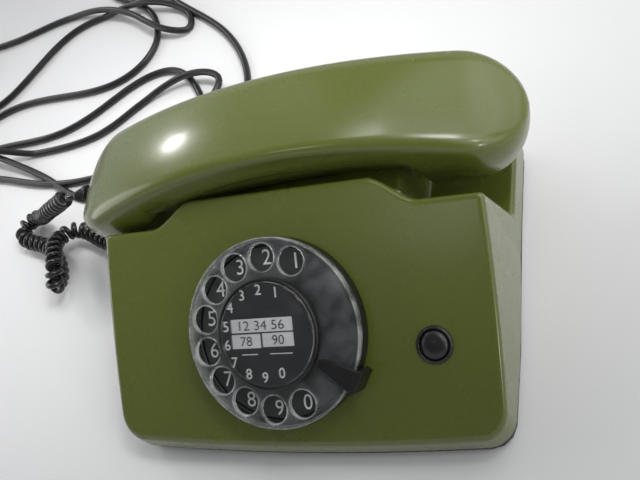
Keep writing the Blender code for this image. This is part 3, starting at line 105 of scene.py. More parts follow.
def noise(tree, scale, detail=3.0, rough=0.5):
    where = tree.nodes.new("ShaderNodeTexCoord")
    made = tree.nodes.new("ShaderNodeTexNoise")
    made.inputs["Scale"].default_value = scale
    made.inputs["Detail"].default_value = detail
    made.inputs["Roughness"].default_value = rough
    tree.links.new(where.outputs["Object"], made.inputs["Vector"])
    return made.outputs["Fac"]


def ramp(tree, value, low, high, a=0.3, b=0.7):
    made = tree.nodes.new("ShaderNodeMapRange")
    made.inputs["From Min"].default_value = a
    made.inputs["From Max"].default_value = b
    made.inputs["To Min"].default_value = low
    made.inputs["To Max"].default_value = high
    tree.links.new(value, made.inputs["Value"])
    return made.outputs["Result"]


def mix(tree, value, one, two, a=0.3, b=0.7):
    made = tree.nodes.new("ShaderNodeMix")
    made.data_type = "RGBA"
    made.inputs[6].default_value = (*one, 1)
    made.inputs[7].default_value = (*two, 1)
    tree.links.new(ramp(tree, value, 0.0, 1.0, a, b), made.inputs[0])
    return made.outputs[2]


def bump(tree, shader, height, strength, distance):
    made = tree.nodes.new("ShaderNodeBump")
    made.inputs["Strength"].default_value = strength
    made.inputs["Distance"].default_value = distance
    tree.links.new(height, made.inputs["Height"])
    tree.links.new(made.outputs["Normal"], shader.inputs["Normal"])


def plastic(name, one, two, rough, grain=900.0, height=0.000008, coat=0.0, spots=30.0, spread=0.03, coat_rough=0.1):
    """Moulded plastic: slight patches in colour and gloss, and a fine grain."""
    made, tree, shader = tree_of(name)
    patch = noise(tree, spots, 4.0, 0.6)
    tree.links.new(mix(tree, patch, one, two), shader.inputs["Base Color"])
    tree.links.new(ramp(tree, noise(tree, spots * 4, 5.0, 0.65), rough - spread, rough + spread),
        shader.inputs["Roughness"])
    shader.inputs["Coat Weight"].default_value = coat
    shader.inputs["Coat Roughness"].default_value = coat_rough
    bump(tree, shader, noise(tree, grain, 2.0), 0.25, height)
    return made


def metal(name, one, two, rough, stretch=(40, 40, 900)):
    """Metal with fine drawn lines."""
    made, tree, shader = tree_of(name)
    where = tree.nodes.new("ShaderNodeTexCoord")
    scale = tree.nodes.new("ShaderNodeMapping")
    scale.inputs["Scale"].default_value = stretch
    lines = tree.nodes.new("ShaderNodeTexNoise")
    lines.inputs["Scale"].default_value = 3.0
    tree.links.new(where.outputs["Object"], scale.inputs["Vector"])
    tree.links.new(scale.outputs["Vector"], lines.inputs["Vector"])
    tree.links.new(mix(tree, lines.outputs["Fac"], one, two), shader.inputs["Base Color"])
    tree.links.new(ramp(tree, noise(tree, 60), rough - 0.08, rough + 0.12), shader.inputs["Roughness"])
    shader.inputs["Metallic"].default_value = 1.0
    bump(tree, shader, lines.outputs["Fac"], 0.2, 0.00003)
    return made


def clear(name, tint, alpha, rough, haze):
    """Clear moulded plastic with streaks of haze and wear."""
    made, tree, shader = tree_of(name)
    tree.links.new(mix(tree, noise(tree, 120, 4.0), tint, tuple(c * 0.86 for c in tint)), shader.inputs["Base Color"])
    tree.links.new(ramp(tree, noise(tree, 200, 6.0, 0.7), rough, rough + 0.1), shader.inputs["Roughness"])
    tree.links.new(ramp(tree, noise(tree, 110, 5.0, 0.65), 1 - 2 * haze, 1.0, 0.4, 0.65),
        shader.inputs["Transmission Weight"])
    shader.inputs["IOR"].default_value = 1.49
    shader.inputs["Alpha"].default_value = alpha
    bump(tree, shader, noise(tree, 300), 0.1, 0.00002)
    return made


GREEN = plastic("olive_green_plastic", (0.110, 0.133, 0.021), (0.101, 0.122, 0.019), 0.27, spots=14.0, coat=0.5,
    coat_rough=0.15)
# The lower shell's green is the olive green darkened: painted shade, for that shell lies in shade under the handset.
GREEN_LOWER_SHADED = plastic("olive_green_lower_painted_shade", (0.100, 0.112, 0.022), (0.090, 0.101, 0.019), 0.30, spots=14.0, coat=0.3)
BLACK = plastic("black_plastic", (0.007, 0.007, 0.008), (0.012, 0.012, 0.013), 0.34, spots=60.0)
BUTTON_BLACK = plastic("button_black", (0.010, 0.010, 0.011), (0.015, 0.015, 0.016), 0.30, spots=60.0, coat=0.15)
CORD = plastic("cord_plastic", (0.010, 0.010, 0.011), (0.018, 0.018, 0.019), 0.33, grain=1600.0, height=0.00004,
    spots=80.0)
CURLY = plastic("curly_plastic", (0.008, 0.008, 0.009), (0.014, 0.014, 0.015), 0.24, grain=1600.0, spots=80.0, coat=0.3)
DARK = plastic("dark_base_plastic", (0.020, 0.020, 0.020), (0.032, 0.032, 0.031), 0.5, grain=700.0, height=0.0001)
GREY = plastic("grey_dial_plastic", (0.030, 0.034, 0.033), (0.040, 0.044, 0.042), 0.42, spots=50.0)
CARD = plastic("card", (0.010, 0.011, 0.013), (0.016, 0.017, 0.019), 0.5, grain=2200.0, height=0.00004, spots=90.0)
PRINT = plastic("white_print", (0.80, 0.80, 0.78), (0.70, 0.70, 0.68), 0.6, spots=200.0)
FIELD = plastic("paper_fields", (0.66, 0.67, 0.67), (0.58, 0.59, 0.59), 0.75, grain=2500.0, height=0.00006, spots=150.0)
INK = plastic("dark_ink", (0.02, 0.02, 0.024), (0.04, 0.04, 0.045), 0.6, spots=300.0)
RUBBER = plastic("rubber", (0.018, 0.018, 0.018), (0.03, 0.03, 0.03), 0.8, grain=500.0, height=0.0002)
CREAM = plastic("cream_nylon", (0.62, 0.57, 0.44), (0.54, 0.49, 0.37), 0.45)
BOARD = plastic("circuit_board", (0.36, 0.22, 0.08), (0.26, 0.15, 0.05), 0.55, grain=400.0, height=0.00008)
STEEL = metal("steel", (0.58, 0.58, 0.59), (0.48, 0.48, 0.50), 0.30)
BRASS = metal("brass", (0.72, 0.52, 0.24), (0.60, 0.42, 0.17), 0.28)
COPPER = metal("copper_winding", (0.55, 0.22, 0.10), (0.40, 0.14, 0.06), 0.38, (1500, 40, 40))
WHEEL = clear("clear_wheel", (0.90, 0.92, 0.94), 0.6, 0.05, 0.045)
# Whiter, hazier clear plastic for the edges of the wheel, its holes and the window: painted highlight on these rims.
RIM_HIGHLIGHT_LOOK = clear("clear_edges_painted_highlight", (0.95, 0.97, 0.97), 0.8, 0.16, 0.17)
WINDOW = clear("clear_window", (0.92, 0.94, 0.94), 0.2, 0.03, 0.02)
SLOT_LOOKS = {"olive_green_plastic": GREEN, "black_plastic": BLACK, "cord_plastic": CORD, "dark_base_plastic": DARK,
    "grey_dial_plastic": GREY, "clear_plastic": WHEEL, "card": CARD, "steel": STEEL, "brass": BRASS,
    "copper_winding": COPPER, "rubber": RUBBER, "circuit_board": BOARD, "cream_nylon": CREAM}
slot_of = {row["node"]: row["material_slot"] for row in frame["record"]["subparts"]}
for node, obj in frame["nodes"].items():
    obj.data.materials.clear()
    obj.data.materials.append(SLOT_LOOKS[slot_of[node]])


# Mesh helpers
def linked(name, data):
    """A new object in the scene."""
    obj = bpy.data.objects.new(name, data)
    bpy.context.scene.collection.objects.link(obj)
    return obj


def place_of(axes):
    return Matrix.Translation(Vector(axes[0]) * MM) @ axes[1].to_4x4()


def beside(axes, x, y):
    """The same axes, moved along their own x and y."""
    return tuple(np.array(axes[0]) + np.array(axes[1] @ Vector((x, y, 0)))), axes[1]


def finished(name, bm, mesh, look, sharp):
    """An object of the bmesh, its faces turned outward, smooth except at edges above the angle sharp."""
    bmesh.ops.recalc_face_normals(bm, faces=bm.faces)
    bm.to_mesh(mesh)
    bm.free()
    mesh.materials.clear()
    mesh.materials.append(look)
    mesh.shade_smooth()
    mesh.set_sharp_from_angle(angle=math.radians(sharp))
    return linked(name, mesh)


def mesh_object(name, verts, faces, look, axes=None, sharp=40.0):
    """A mesh in millimetres, in the frame's axes or at axes = (place, turn)."""
    verts = np.asarray(verts, float)
    if axes is not None:
        verts = verts @ np.array(axes[1]).T + np.array(axes[0])
    mesh = bpy.data.meshes.new(name)
    mesh.from_pydata([tuple(v) for v in verts * MM], [], [tuple(int(i) for i in f) for f in faces])
    bm = bmesh.new()
    bm.from_mesh(mesh)
    return finished(name, bm, mesh, look, sharp)


def ring_faces(rings, around, closed_ends=True):
    faces = []
    for r in range(rings - 1):
        for i in range(around):
            k = (i + 1) % around
            faces.append((r * around + i, r * around + k, (r + 1) * around + k, (r + 1) * around + i))
    if closed_ends:
        faces.append(tuple(range(around))[::-1])
        faces.append(tuple(range((rings - 1) * around, rings * around)))
    return faces


def turned(name, profile, look, axes, steps=64, sharp=40.0):
    """A turned piece about the z axis of axes. A closed profile of (radius, height)."""
    verts, faces, ids = [], [], []
    for r, z in profile:
        if abs(r) < 1e-6:
            ids.append([len(verts)] * steps)
            verts.append((0, 0, z))
        else:
            ids.append(list(range(len(verts), len(verts) + steps)))
            verts += [(r * math.cos(2 * math.pi * i / steps), r * math.sin(2 * math.pi * i / steps), z)
                for i in range(steps)]
    for a, b in zip(ids, ids[1:] + ids[:1]):
        for i in range(steps):
            k = (i + 1) % steps
            face = [a[i], a[k], b[k], b[i]]
            face = [v for j, v in enumerate(face) if v not in face[:j]]
            if len(face) > 2:
                faces.append(face)
    return mesh_object(name, verts, faces, look, axes, sharp)


def evaluated(obj):
    bpy.context.view_layer.update()
    graph = bpy.context.evaluated_depsgraph_get()
    return bpy.data.meshes.new_from_object(obj.evaluated_get(graph))


def mesh_from(name, data):
    """The mesh of a curve or of a text."""
    obj = linked(name, data)
    mesh = evaluated(obj)
    bpy.data.objects.remove(obj, do_unlink=True)
    return mesh


def cut(obj, *others, operation="DIFFERENCE"):
    """Cuts the other solids, which are used up, out of the object's mesh, or keeps what lies in them."""
    for other in others:
        step = obj.modifiers.new("cut", "BOOLEAN")
        step.operation = operation
        step.solver = "EXACT"
        step.object = other
    mesh = evaluated(obj)
    obj.modifiers.clear()
    obj.data = mesh
    for other in others:
        bpy.data.objects.remove(other, do_unlink=True)


def joined(name, pieces):
    """One object from several meshes that have the same frame."""
    bm = bmesh.new()
    looks = []
    for piece in pieces:
        for look in piece.data.materials:
            if look not in looks:
                looks.append(look)
    mesh = bpy.data.meshes.new(name)
    for piece in pieces:
        start = len(bm.faces)
        bm.from_mesh(piece.data)
        bm.faces.ensure_lookup_table()
        order = [looks.index(look) for look in piece.data.materials]
        for face in bm.faces[start:]:
            face.material_index = order[face.material_index]
    bm.to_mesh(mesh)
    bm.free()
    for look in looks:
        mesh.materials.append(look)
    for piece in pieces:
        bpy.data.objects.remove(piece, do_unlink=True)
    return linked(name, mesh)


def rounded_plate(name, outlines, low, high, edge, look, axes, segments=3):
    """A flat piece with rounded edges, from outlines in its own xy plane; inner outlines are holes."""
    curve = bpy.data.curves.new(name, "CURVE")
    curve.dimensions = "2D"
    curve.fill_mode = "BOTH"
    curve.extrude = ((high - low) / 2 - edge) * MM
    curve.bevel_depth = edge * MM
    curve.bevel_resolution = segments
    curve.offset = -edge * MM
    for outline in outlines:
        line = curve.splines.new("POLY")
        line.points.add(len(outline) - 1)
        for point, (x, y) in zip(line.points, outline):
            point.co = (x * MM, y * MM, 0, 1)
        line.use_cyclic_u = True
    mesh = mesh_from(name, curve)
    bm = bmesh.new()
    bm.from_mesh(mesh)
    bmesh.ops.remove_doubles(bm, verts=bm.verts, dist=0.000002)
    bm.transform(place_of(axes) @ Matrix.Translation((0, 0, (low + high) / 2 * MM)))
    return finished(name, bm, mesh, look, 35)


def circle(radius, sides, middle=(0.0, 0.0)):
    return [(middle[0] + radius * math.cos(2 * math.pi * i / sides),
        middle[1] + radius * math.sin(2 * math.pi * i / sides)) for i in range(sides)]


def polar(radius, degrees):
    return (radius * math.cos(math.radians(degrees)), radius * math.sin(math.radians(degrees)))


FONT_SIZE, PRINT_THICKNESS = 1.38, 0.03


def written(name, words, look, axes):
    """Numbers printed on a face: (text, x, y, height, width, z), where width 0 keeps the letters' own shape."""
    pieces = []
    for text, x, y, height, width, z in words:
        font = bpy.data.curves.new(name + text, "FONT")
        font.body = text
        font.align_x = "CENTER"
        font.align_y = "CENTER"
        font.size = height * FONT_SIZE * MM
        font.extrude = PRINT_THICKNESS * MM
        font.resolution_u = 4
        mesh = mesh_from(name + text, font)
        xs = [v.co.x for v in mesh.vertices]
        ys = [v.co.y for v in mesh.vertices]
        wide, tall = max(xs) - min(xs), max(ys) - min(ys)
        fit = Matrix.Diagonal((width * MM / wide if width else height * MM / tall, height * MM / tall, 1.0, 1.0))
        back = Matrix.Translation((-(max(xs) + min(xs)) / 2, -(max(ys) + min(ys)) / 2, 0))
        mesh.transform(place_of(axes) @ Matrix.Translation(Vector((x, y, z)) * MM) @ fit @ back)
        mesh.materials.clear()
        mesh.materials.append(look)
        pieces.append(bpy.data.objects.new(name + text, mesh))
    return joined(name, pieces)


# Camera at the photograph's place
camera = linked("camera", bpy.data.cameras.new("camera"))
camera.data.lens = 50.877
camera.data.sensor_width = 36.0
camera.matrix_world = Matrix.Translation((0.2031065, -0.1877132, 0.3805109)) @ Matrix((
    (0.8979973, 0.09161448, 0.43035756), (0.12746155, 0.88198106, -0.45372124),
    (-0.42113465, 0.46229449, 0.78033929))).to_4x4()
camera.data.clip_start = 0.01
bpy.context.scene.camera = camera


# Cords: smooth curves through chosen points
def spline(points, samples):
    """A natural cubic spline through the points, sampled evenly in its parameter."""
    p = np.array(points, float)
    n = len(p)
    t = np.concatenate([[0.0], np.cumsum(np.sqrt(np.linalg.norm(np.diff(p, axis=0), axis=1)))])
    h = np.diff(t)
    system = np.zeros((n, n))
    right = np.zeros((n, 3))
    system[0, 0] = system[-1, -1] = 1.0
    for i in range(1, n - 1):
        system[i, i - 1:i + 2] = (h[i - 1], 2 * (h[i - 1] + h[i]), h[i])
        right[i] = 6 * ((p[i + 1] - p[i]) / h[i] - (p[i] - p[i - 1]) / h[i - 1])
    bend = np.linalg.solve(system, right)
    where = np.linspace(0, t[-1], samples)
    k = np.clip(np.searchsorted(t, where, side="right") - 1, 0, n - 2)
    a = ((t[k + 1] - where) / h[k])[:, None]
    b = 1 - a
    span = (h[k] ** 2)[:, None]
    return a * p[k] + b * p[k + 1] + ((a ** 3 - a) * bend[k] + (b ** 3 - b) * bend[k + 1]) * span / 6


def lengths(points):
    return np.concatenate([[0.0], np.cumsum(np.linalg.norm(np.diff(points, axis=0), axis=1))])


def read_at(at, along, values):
    return np.stack([np.interp(at, along, values[:, i]) for i in range(3)], 1)


def curvature(points, along):
    step = np.gradient(points, along, axis=0)
    return np.linalg.norm(np.gradient(step, along, axis=0), axis=1)


def swept(name, points, radius, sides, look):
    """A round tube through the points, its rings carried along without twist."""
    points = np.asarray(points, float)
    run = np.gradient(points, axis=0)
    run /= np.linalg.norm(run, axis=1)[:, None]
    normal = np.array([0.0, 0.0, 1.0]) if abs(run[0, 2]) < 0.9 else np.array([1.0, 0.0, 0.0])
    turns = np.arange(sides) * 2 * math.pi / sides
    verts = []
    for point, tangent in zip(points, run):
        normal = normal - tangent * float(normal @ tangent)
        normal /= np.linalg.norm(normal)
        side = np.cross(tangent, normal)
        verts.append(point + radius * (np.cos(turns)[:, None] * normal + np.sin(turns)[:, None] * side))
    return mesh_object(name, np.concatenate(verts), ring_faces(len(points), sides), look, sharp=60.0)


# The curly cord: radius of a curl and of the strand, distance from curl to curl and points in a curl. The curls lie
# closer by CLOSER times a smooth rise that starts at CLOSE_START along the cord, and reach full size within SWELL.
CURLY_RADIUS, STRAND, PITCH, CURL_POINTS, BOOT_LENGTH, GAP = 5.35, 1.7, 5.1, 18, 10.0, 0.3
OPEN_RATE, CLOSER, CLOSE_START, CLOSE_RUN, SWELL, SAMPLES = 0.58, 0.50, 55, 30, 7.0, 3000
CURLY_ROUTE = [(-149.5, 125, 55.5), (-157.5, 127.5, 49.5), (-166.5, 130.5, 43), (-177, 134, 35.5), (-189, 138, 26.8),
    (-200.5, 142, 18), (-211, 145.5, 11), (-221, 146.5, 7.4), (-227, 140, 6.4), (-222, 132.5, 6.4),
    (-210, 128.5, 6.4), (-199, 123.5, 6.4), (-191.5, 116, 6.4), (-186.5, 108.5, 6.6), (-183, 101, 8.0),
    (-179.5, 93.6, 13.6), (-176.5, 99, 20.4), (-179, 108, 21), (-184, 118, 18.8), (-185.5, 126, 14.8),
    (-180.5, 132.5, 11), (-171, 132, 8.4), (-160, 126.5, 7), (-148, 121.5, 7.8), (-134, 116, 10.5), (-122, 112, 13.2),
    (-113.5, 112, 14)]
CURLY_START = [on_handset(-HALF_LENGTH - BOOT_LENGTH - GAP - reach, 3, 59) for reach in (0, 4.2)]


def curly_path(start, route):
    """The strand of a curly cord: it winds round the route, its curls fanned out where the route bends."""
    line = spline(start + [here(x, y + FRONT_Y, z) for x, y, z in route], SAMPLES)
    along = lengths(line)
    total = along[-1]
    even = np.linspace(0, total, SAMPLES)
    line = read_at(even, along, line)
    wind = CURLY_RADIUS - STRAND
    bend = np.minimum(curvature(line, even), 0.8 / wind)
    bend = np.convolve(np.pad(bend, 20, mode="edge"), np.ones(41) / 41, mode="valid")
    lead = 2 * STRAND + 0.4
    rate = (1 - 0.4 * wind * bend) * (OPEN_RATE + CLOSER * smooth((even - CLOSE_START) / CLOSE_RUN)) / PITCH
    rate[(even < lead) | (even > total - lead)] = 0.0
    turn = np.concatenate([[0.0], np.cumsum((rate[1:] + rate[:-1]) / 2 * np.diff(even))])
    curls = int(turn[-1])
    turn *= curls / turn[-1]
    swell = smooth(np.minimum(even - lead, total - lead - even) / SWELL) * wind
    normal = np.array([0.0, 0.0, 1.0])
    ends = [lead * share for share in (0.0, 0.25, 0.5, 0.75)]
    marks = ends + [total - end for end in ends]
    marks += list(np.interp(np.arange(0, curls * CURL_POINTS + 1) / CURL_POINTS, turn, even))
    marks = sorted(set(round(float(m), 4) for m in marks))
    tangents = np.gradient(line, even, axis=0)
    frames = np.empty_like(line)
    for i, tangent in enumerate(tangents):
        tangent = tangent / np.linalg.norm(tangent)
        normal = normal - tangent * float(normal @ tangent)
        normal /= np.linalg.norm(normal)
        frames[i] = normal
        tangents[i] = tangent
    sides = np.cross(tangents, frames)
    at = np.array(marks)
    angle = 2 * math.pi * np.interp(at, even, turn)
    out = np.interp(at, even, swell)[:, None]
    line, frames, sides = (read_at(at, even, values) for values in (line, frames, sides))
    points = line + out * (np.cos(angle)[:, None] * frames + np.sin(angle)[:, None] * sides)
    points[:, 2] = np.maximum(points[:, 2], STRAND + 0.02)
    return points


curly_points = curly_path(CURLY_START, CURLY_ROUTE)
curly_cord = swept("curly_cord", curly_points, STRAND, 10, CURLY)

# The line cord: its radius and length, its height on the floor and over another strand, and the tie's thickness.
# A point of the route that gives no height lies on the floor.
LINE, LINE_LENGTH = 2.25, 3000.0
LOW, OVER, TIE = LINE + 0.1, 7.6, 1.0
COIL_LOW = LOW + TIE + GAP
LINE_ROUTE = [(-60, 182.3, 14), (-60, 188, 13), (-65, 199, 5), (-85, 202), (-128, 189), (-190, 176), (-238, 180),
    (-271, 188), (-293, 193), (-300, 205), (-288, 214), (-237, 217), (-199, 231), (-168, 251), (-138, 254),
    (-115, 231), (-101, 213), (-83, 213), (-80, 236), (-107, 281), (-155, 320), (-197, 350), (-217, 344), (-200, 332),
    (-172, 311), (-163, 280), (-180, 258), (-215, 251), (-264, 252), (-299, 242), (-313, 226), (-298, 212.5, OVER),
    (-276, 204, OVER), (-224, 181), (-205, 169), (-168, 160), (-132, 183, OVER), (-106, 213, OVER), (-98, 235, OVER),
    (-122, 244, OVER), (-160, 232), (-190, 212), (-245, 205), (-275, 205, OVER + 5), (-300, 205, OVER), (-330, 222),
    (-322, 243), (-291, 260), (-252, 307), (-218, 321), (-178, 320, OVER), (-141, 305), (-137, 290),
    (-158, 292, OVER), (-185, 310, OVER), (-212, 322, OVER), (-251, 329), (-300, 319), (-340, 316)]
COIL_X, COIL_Y = here(-366.0, 281.5 + FRONT_Y, 0)[:2]
LAYERS, TURNS, STEP, TAIL = 4, 6.25, 5.2, 60

free = spline([here(x, y + FRONT_Y, *(z or [LOW])) for x, y, *z in LINE_ROUTE], 6000)
free[:, 2] = np.maximum(free[:, 2], LOW)
free_along = lengths(free)
coil_mean = (LINE_LENGTH - free_along[-1] - TAIL) / (2 * math.pi * TURNS)
coil_inner = coil_mean - TURNS / LAYERS * STEP / 2
coil_outer = coil_inner + TURNS / LAYERS * STEP


def coil_path(points_a_turn):
    """A neat pile of loops: out and in at a steady rate, a layer higher at each half turn where it reverses."""
    per_layer = TURNS / LAYERS
    made = []
    for i in range(int(round(TURNS * points_a_turn)) + 1):
        turn = i / points_a_turn
        layer = min(LAYERS - 1, int(turn / per_layer))
        within = turn - layer * per_layer
        out = within if layer % 2 else per_layer - within
        height = layer
        for k in range(1, LAYERS):
            off = turn - k * per_layer
            if abs(off) < 0.25:
                height = k - 1 + float(smooth(off * 2 + 0.5))
        angle = math.pi / 2 + 2 * math.pi * turn
        made.append((COIL_X + (coil_inner + out * STEP) * math.cos(angle),
            COIL_Y + (coil_inner + out * STEP) * math.sin(angle), COIL_LOW + height * STEP))
    return np.array(made)


coil = coil_path(24)
coarse = coil_path(12)
back = coarse[-1] - coarse[-2]
back[2] = 0
back /= np.linalg.norm(back)
PLUG_HALF = 4.8
fall = coil[-1][2] - PLUG_HALF - 0.1
tail = spline([coil[-1] + back * reach + np.array([0, 0, -fall * down])
    for reach, down in ((-3, 0), (7, 0.05), (19, 0.4), (31, 0.85), (42, 1.0), (47, 1.0))], 60)[6::4]
tail = np.vstack([tail, spline([coil[-1] + back * reach + np.array([0, 0, -fall]) for reach in (47.5, 49, 51.5)], 4)])
even = np.arange(0, free_along[-1] - 9, 3.2)
start = read_at(even, free_along, free)
start[1] = start[0] + (0, 2.2, 0)
start[2] = start[0] + (0, 4.5, -0.05)
run_in = np.array([(COIL_X + 4.5, COIL_Y + coil_outer, COIL_LOW), (COIL_X, COIL_Y + coil_outer, COIL_LOW)])
line_points = np.vstack([start, run_in, coil[1:-1], tail])
keep = np.concatenate([[True], np.linalg.norm(np.diff(line_points, axis=0), axis=1) > 0.4])
line_points = line_points[keep]
line_cord = swept("line_cord_sheath", line_points, LINE, 14, CORD)


def relief(name, reach, tip, axes, wall, ribs):
    """A strain relief: a flange inside the wall, a neck through it and a ribbed tail outside."""
    neck, body = 3.6, 5.2
    profile = [(0, -wall - 1.8), (neck + 1, -wall - 1.8), (neck + 1, -wall - 0.3), (neck, -wall - 0.3), (neck, GAP),
        (body - 0.4, GAP), (body, GAP + 0.4), (body, GAP + 1.9), (body - 0.4, GAP + 2.3)]
    for i in range(ribs):
        z0 = 3.0 + (reach - 3.6) * i / ribs
        z1 = 3.0 + (reach - 3.6) * (i + 0.55) / ribs
        r0 = body - 0.6 - (body - 0.6 - tip - 0.3) * i / ribs
        r1 = r0 - 0.12
        profile += [(r0 - 0.7, z0 - 0.2), (r0 - 0.1, z0 + 0.05), (r0, z0 + 0.3), (r1, z1 - 0.2), (r1 - 0.5, z1)]
    profile += [(tip + 0.25, reach - 0.5), (tip, reach - 0.15), (tip - 0.25, reach), (0, reach)]
    return turned(name, profile, BLACK, axes, 32)


MINUS_X = Matrix.Rotation(math.radians(-90), 3, "Y")
ALONG_Y = Matrix.Rotation(math.radians(-90), 3, "X")
GLAND_AXES = (here(-HALF_WIDTH, 33.3, 14), MINUS_X)
LINE_GLAND_AXES = (here(-60, REAR_Y, 14), ALONG_Y)
boot = relief("handset_boot", BOOT_LENGTH, STRAND + 0.6, (on_handset(-HALF_LENGTH, 3, 59),
    Matrix.Rotation(HANDSET_TURN, 3, "Z") @ MINUS_X), 5.3, 3)
gland = relief("curly_gland", 14.0, STRAND + 0.6, GLAND_AXES, WALL, 4)
line_gland = relief("line_gland", 24.0, LINE + 0.5, LINE_GLAND_AXES, WALL, 7)

room = LINE + GAP + 0.7
tie_low, tie_high = 0.1, COIL_LOW + 3 * STEP + LINE + GAP + TIE
near, far = coil_inner - room - TIE, coil_outer + room + TIE


def oblong(x0, x1, y0, y1, r, arc=6):
    """The outline of a rectangle with rounded corners."""
    points = []
    for mx, my, start_at in ((x1 - r, y0 + r, -90), (x1 - r, y1 - r, 0), (x0 + r, y1 - r, 90), (x0 + r, y0 + r, 180)):
        for i in range(arc + 1):
            x, y = polar(r, start_at + 90 * i / arc)
            points.append((mx + x, my + y))
    return points


tie = rounded_plate("coil_tie", [oblong(near, far, tie_low, tie_high, 2.4),
    oblong(near + TIE, far - TIE, tie_low + TIE, tie_high - TIE, 1.5)], -2.5, 2.5, 0.25, BLACK,
    ((COIL_X, COIL_Y, 0), Matrix.Rotation(math.radians(90), 3, "X")), 2)

plug_at = line_points[-1] + back * GAP
heading = math.atan2(back[1], back[0])
PLUG_AXES = (tuple(plug_at), Matrix.Rotation(heading, 3, "Z") @ Matrix.Rotation(math.radians(90), 3, "Y"))
plug_neck = turned("plug_neck", [(0, 0), (2.7, 0), (3.05, 0.4), (3.1, 2.2), (2.8, 2.6), (2.8, 3.4), (3.4, 3.8),
    (3.5, 5.6), (3.2, 6.0), (3.2, 6.8), (3.8, 7.2), (3.95, 9.2), (3.6, 9.6), (3.6, 10.4), (4.2, 10.9), (4.45, 12),
    (4.45, 15), (0, 15)], BLACK, PLUG_AXES, 32)


def lofted_box(name, sections, look, axes):
    """A rounded block through (z, half thickness, half width, corner radius) sections."""
    rings = [[(x, y, z) for x, y in oblong(-a, a, -b, b, r, 5)] for z, a, b, r in sections]
    return mesh_object(name, sum(rings, []), ring_faces(len(rings), len(rings[0])), look, axes, 50.0)


plug_body = lofted_box("plug_body", [(13.4, 3.6, 5.0, 3.2), (14.2, 4.2, 6.4, 3.4), (17, 4.6, 9.6, 3.6),
    (20, 4.8, 10.7, 3.6), (23, 4.8, 11, 3.6), (24, 4.45, 10.7, 3.4), (27, 4.3, 10.4, 3.2), (30, 4.45, 10.7, 3.4),
    (31, 4.8, 11, 3.6), (38.6, 4.8, 11, 3.6), (39.6, 4.6, 10.8, 3.4), (40, 4.2, 10.4, 3.0)], BLACK, PLUG_AXES)
blades = [lofted_box(f"blade{s}", [(39, 2.5, 0.7, 0.3), (50.6, 2.5, 0.7, 0.3), (51.6, 2.2, 0.5, 0.25),
    (52, 1.8, 0.3, 0.15)], BRASS, beside(PLUG_AXES, 0, 6 * s)) for s in (-1, 1)]
plug = joined("line_plug_moulding", [plug_neck, plug_body] + blades)


# Housing: a solid described by distances to its faces, meshed evenly and drawn onto them
def both(a, b, r):
    """Where two solids meet, with the edge rounded."""
    return np.minimum(-r, np.maximum(a, b)) + np.hypot(np.maximum(a + r, 0), np.maximum(b + r, 0))


def either(a, b, r):
    """Two solids together, with the hollow edge rounded."""
    return np.maximum(r, np.minimum(a, b)) - np.hypot(np.maximum(r - a, 0), np.maximum(r - b, 0))


def panel_length(x):
    return PANEL_SIDE + (PANEL_MIDDLE - PANEL_SIDE) * (1 - smooth((np.abs(x) - HUMP_FLAT) / (HUMP_FOOT - HUMP_FLAT)))


def back_line(x):
    v = panel_length(x)
    return FRONT_Y + v * math.cos(SLOPE) + (FRONT_HEIGHT + v * math.sin(SLOPE)) * LEAN


def housing(p, inset, edge, ridge, hollow):
    """How far points lie outside the housing, drawn in by inset; the other three are its rounds."""
    x, y, z = p[..., 0] - ORIGIN_X, p[..., 1] - ORIGIN_Y, p[..., 2]
    t = np.clip((y - FRONT_Y) / (PANEL_SIDE * math.cos(SLOPE)), 0, 1)
    half = HALF_WIDTH + SIDE_BOW * 4 * t * (1 - t)
    bow = FRONT_BOW * (1 - (x / HALF_WIDTH) ** 2)
    straight = y
    for _ in range(3):
        straight = y + (1 - smooth((straight - FRONT_Y) / (2 * CORNER))) * bow
    qx = np.abs(x) * HALF_WIDTH / half - (HALF_WIDTH - CORNER)
    qy = np.abs(straight - (REAR_Y + FRONT_Y) / 2) - ((REAR_Y - FRONT_Y) / 2 - CORNER)
    side = np.hypot(np.maximum(qx, 0), np.maximum(qy, 0)) + np.minimum(np.maximum(qx, qy), 0) - CORNER + inset
    panel = (z - FRONT_HEIGHT) * math.cos(SLOPE) - (y - FRONT_Y) * math.sin(SLOPE) + inset
    run = (back_line(x + 0.1) - back_line(x - 0.1)) / 0.2
    wall = (y - back_line(x) + LEAN * z) / np.sqrt(1 + LEAN ** 2 + run ** 2) + inset
    block = both(z - SADDLE + inset, np.abs(x) - BLOCK + inset, edge)
    body = either(either(wall, block, hollow), z - DECK + inset, hollow)
    return both(both(side, panel, edge), body, ridge)


ON_SURFACE = 0.03


def slope_of(field, p):
    e = 0.02
    steps = np.eye(3) * e
    return np.stack([(field(p + s) - field(p - s)) / (2 * e) for s in steps], -1)


